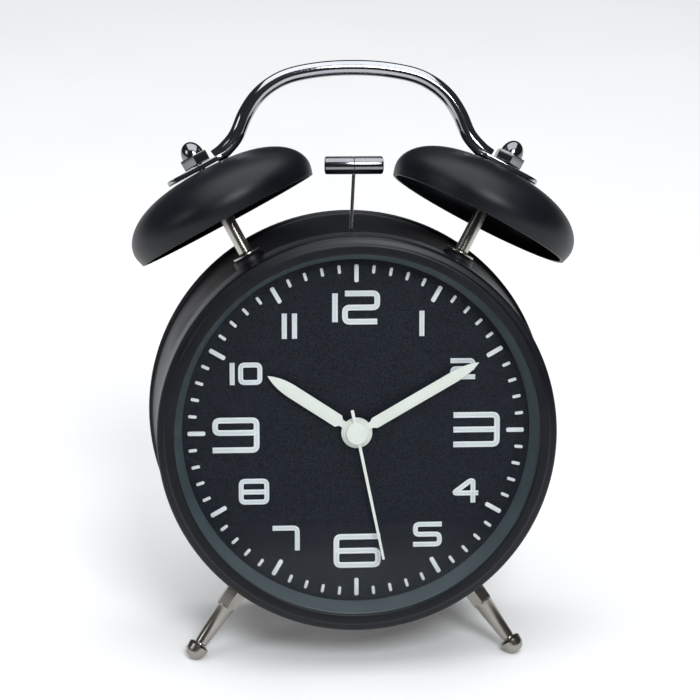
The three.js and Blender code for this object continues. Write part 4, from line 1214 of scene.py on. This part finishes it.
@dataclass
class Legs:
    """Two turned legs with hexagon shanks and button feet, in millimetres."""

    angle: float = 35.5
    rake: float = 8.0
    depth: float = -7.5
    ring: float = 51.31
    hex_corner: float = 3.05
    start: float = 1.4
    hex_run: float = 6.6
    cone_run: float = 12.0
    foot_r: float = 2.85
    ball_r: float = 2.65

    def frames(self) -> list[Matrix]:
        """Frames on the drum, along each leg.

        Returns:
            The two matrices.
        """
        result = []
        for side in (-1, 1):
            root = polar(side * (180 - self.angle), self.ring) + Vector((0, 0, self.depth))
            result.append(along(root, direction(side, 180 - self.angle, self.rake)))
        return result

    def build(self, shop: Workshop) -> None:
        """Builds both legs.

        Args:
            shop: Where pieces are made.
        """
        for word, place in zip(("left", "right"), self.frames()):
            bm = bmesh.new()
            step = self.start + self.hex_run
            neck = step + self.cone_run
            ball = self.ball_r
            centre = neck + ball * 0.75
            prism(bm, circle(self.hex_corner, 6, start=90), self.start, step, place, 0.25, 3)
            shank = [
                (0, step - 0.6), (2.62, step - 0.6), (2.62, step + 0.25), (2.45, step + 0.5),
                (1.68, neck - 0.3), (1.45, neck - 0.05), (1.5, neck + 0.15),
                (self.foot_r - 0.35, neck + 0.45), (self.foot_r - 0.05, neck + 0.7),
                (self.foot_r - 0.02, neck + 1.0),
            ]
            turns = [math.pi / 2 * i / 14 for i in range(14)]
            shank += [(ball * math.cos(t) + 0.1, centre + ball * math.sin(t)) for t in turns]
            turned(bm, [*shank, (0, centre + ball)], 64, place, closed=False)
            shop.add(f"leg_turned_{word}", bm, [LEG_NICKEL], "case", f"leg_{word}", floor=True)


@dataclass
class Knob:
    """Fluted setting knob, in millimetres."""

    name: str
    body: str
    x: float
    radius: float = 6.15
    face: float = -35.8
    height: float = 6.4
    flutes: int = 18
    flute_depth: float = 0.35
    chamfer: float = 0.7

    def build(self, shop: Workshop) -> None:
        """Builds the knob.

        Args:
            shop: Where pieces are made.
        """
        bm = bmesh.new()
        outline = []
        for i in range(8 * self.flutes):
            turn = math.tau * i / (8 * self.flutes)
            radius = self.radius - self.flute_depth + self.flute_depth * math.cos(turn * self.flutes)
            outline.append((self.x + radius * math.cos(turn), radius * math.sin(turn)))
        low = self.face - self.height
        prism(bm, outline, low + self.chamfer, self.face - self.chamfer, Matrix(), 0.2, 2)
        cap = [
            (0, low + 0.5), (3.2, low + 0.5), (3.6, low), (4.9, low), (5.2, low + 0.3),
            (5.2, self.face), (0, self.face),
        ]
        turned(bm, cap, 64, Matrix.Translation((self.x, 0, 0)), closed=False)
        shop.add(f"{self.name}_grip", bm, [KNOB_BLACK], self.body, self.name)


# ---- stage
@dataclass
class Studio:
    """Pale floor, soft lights and the camera.

    The camera's place and directions are in the dial's own frame, in millimetres. The floor and
    the lights are in the row frame, in metres.
    """

    eye: Triple = (-37.7, 109.3, 546.0)
    right: Triple = (0.9978, 0.0, 0.0657)
    up: Triple = (0.0108, 0.9874, -0.1578)
    lens: float = 109.6
    sensor: float = 36.0
    floor_half: float = 3.0
    world_strength: float = 0.05
    daylight: Triple = (0.95, 0.97, 1.0)
    aim: Triple = (0.0, 0.0, 0.07)

    def build(self) -> None:
        """Sets the stage round the clock."""
        bm = bmesh.new()
        bmesh.ops.create_grid(bm, x_segments=1, y_segments=1, size=self.floor_half)
        floor = shown("floor", meshed("floor", bm))
        floor.data.materials.append(FLOOR.material())
        bpy.context.scene.view_settings.view_transform = "Standard"
        self._camera()
        self._world()
        self._light("overhead", (0.0, 0.15, 1.5), 1.9, 27)
        self._light("key", (0.25, -0.95, 1.0), 0.45, 10)
        self._light("side", (-1.0, -0.4, 0.6), 0.4, 1.4)

    def _camera(self) -> None:
        """Adds the camera and makes it the scene's."""
        turn = FACE.to_3x3().normalized()
        right = (turn @ Vector(self.right)).normalized()
        up = (turn @ Vector(self.up)).normalized()
        back = right.cross(up).normalized()
        data = bpy.data.cameras.new("camera")
        data.lens = self.lens
        data.sensor_width = self.sensor
        camera = shown("camera", data)
        facing = Matrix((right, up, back)).transposed().to_4x4()
        camera.matrix_world = Matrix.Translation(FACE @ Vector(self.eye)) @ facing
        bpy.context.scene.camera = camera

    def _world(self) -> None:
        """Gives the world an even pale light."""
        world = bpy.data.worlds.new("studio")
        world.use_nodes = True
        bpy.context.scene.world = world
        tree = world.node_tree
        tree.nodes.clear()
        light = add_node(
            tree, "ShaderNodeBackground", {"Color": linear("#f8f9fb"), "Strength": self.world_strength},
        )
        out = add_node(tree, "ShaderNodeOutputWorld")
        tree.links.new(light.outputs[0], out.inputs[0])

    def _light(self, name: str, where: Triple, size: float, power: float) -> None:
        """Adds a square soft light aimed at the clock.

        Args:
            name: Its name.
            where: Its place in the row frame.
            size: Its side in metres.
            power: Its power in watts.
        """
        data = bpy.data.lights.new(name, "AREA")
        data.size = size
        data.energy = power
        data.color = self.daylight
        lamp = shown(name, data)
        aim = (Vector(self.aim) - Vector(where)).to_track_quat("-Z", "Y")
        lamp.matrix_world = Matrix.Translation(where) @ aim.to_matrix().to_4x4()


def repaint_frame() -> None:
    """Gives every CAD node that is still shown its full finish."""
    for name, obj in frame["nodes"].items():
        finish = SLOT_FINISH[slot_of(name)]
        for entry in obj.material_slots:
            entry.material = finish.material()


def main() -> None:
    """Builds the clock's looks, in order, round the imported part."""
    logging.basicConfig(level=logging.INFO, format="%(name)s %(message)s")
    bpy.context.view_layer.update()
    repaint_frame()
    shop = Workshop()
    bells, legs = Bells(), Legs()
    CaseShell().build(shop, bells, legs)
    Dial().build(shop)
    Hand(
        "hour_hand", "hour", length=27.8, width=3.5, hub=4.05, hole=2.3, front=1.75, angle=303.4,
    ).build(shop)
    Hand(
        "minute_hand", "minute", length=36.8, width=3.0, hub=3.6, hole=1.4, front=2.45, angle=60.0,
    ).build(shop)
    SecondHand().build(shop)
    bells.build(shop)
    Handle().build(shop, bells)
    Hammer().build(shop)
    legs.build(shop)
    Knob("time_set_knob", "time_setting", 14).build(shop)
    Knob("alarm_set_knob", "alarm_setting", -14).build(shop)
    Studio().build()


if __name__ == "__main__":
    main()
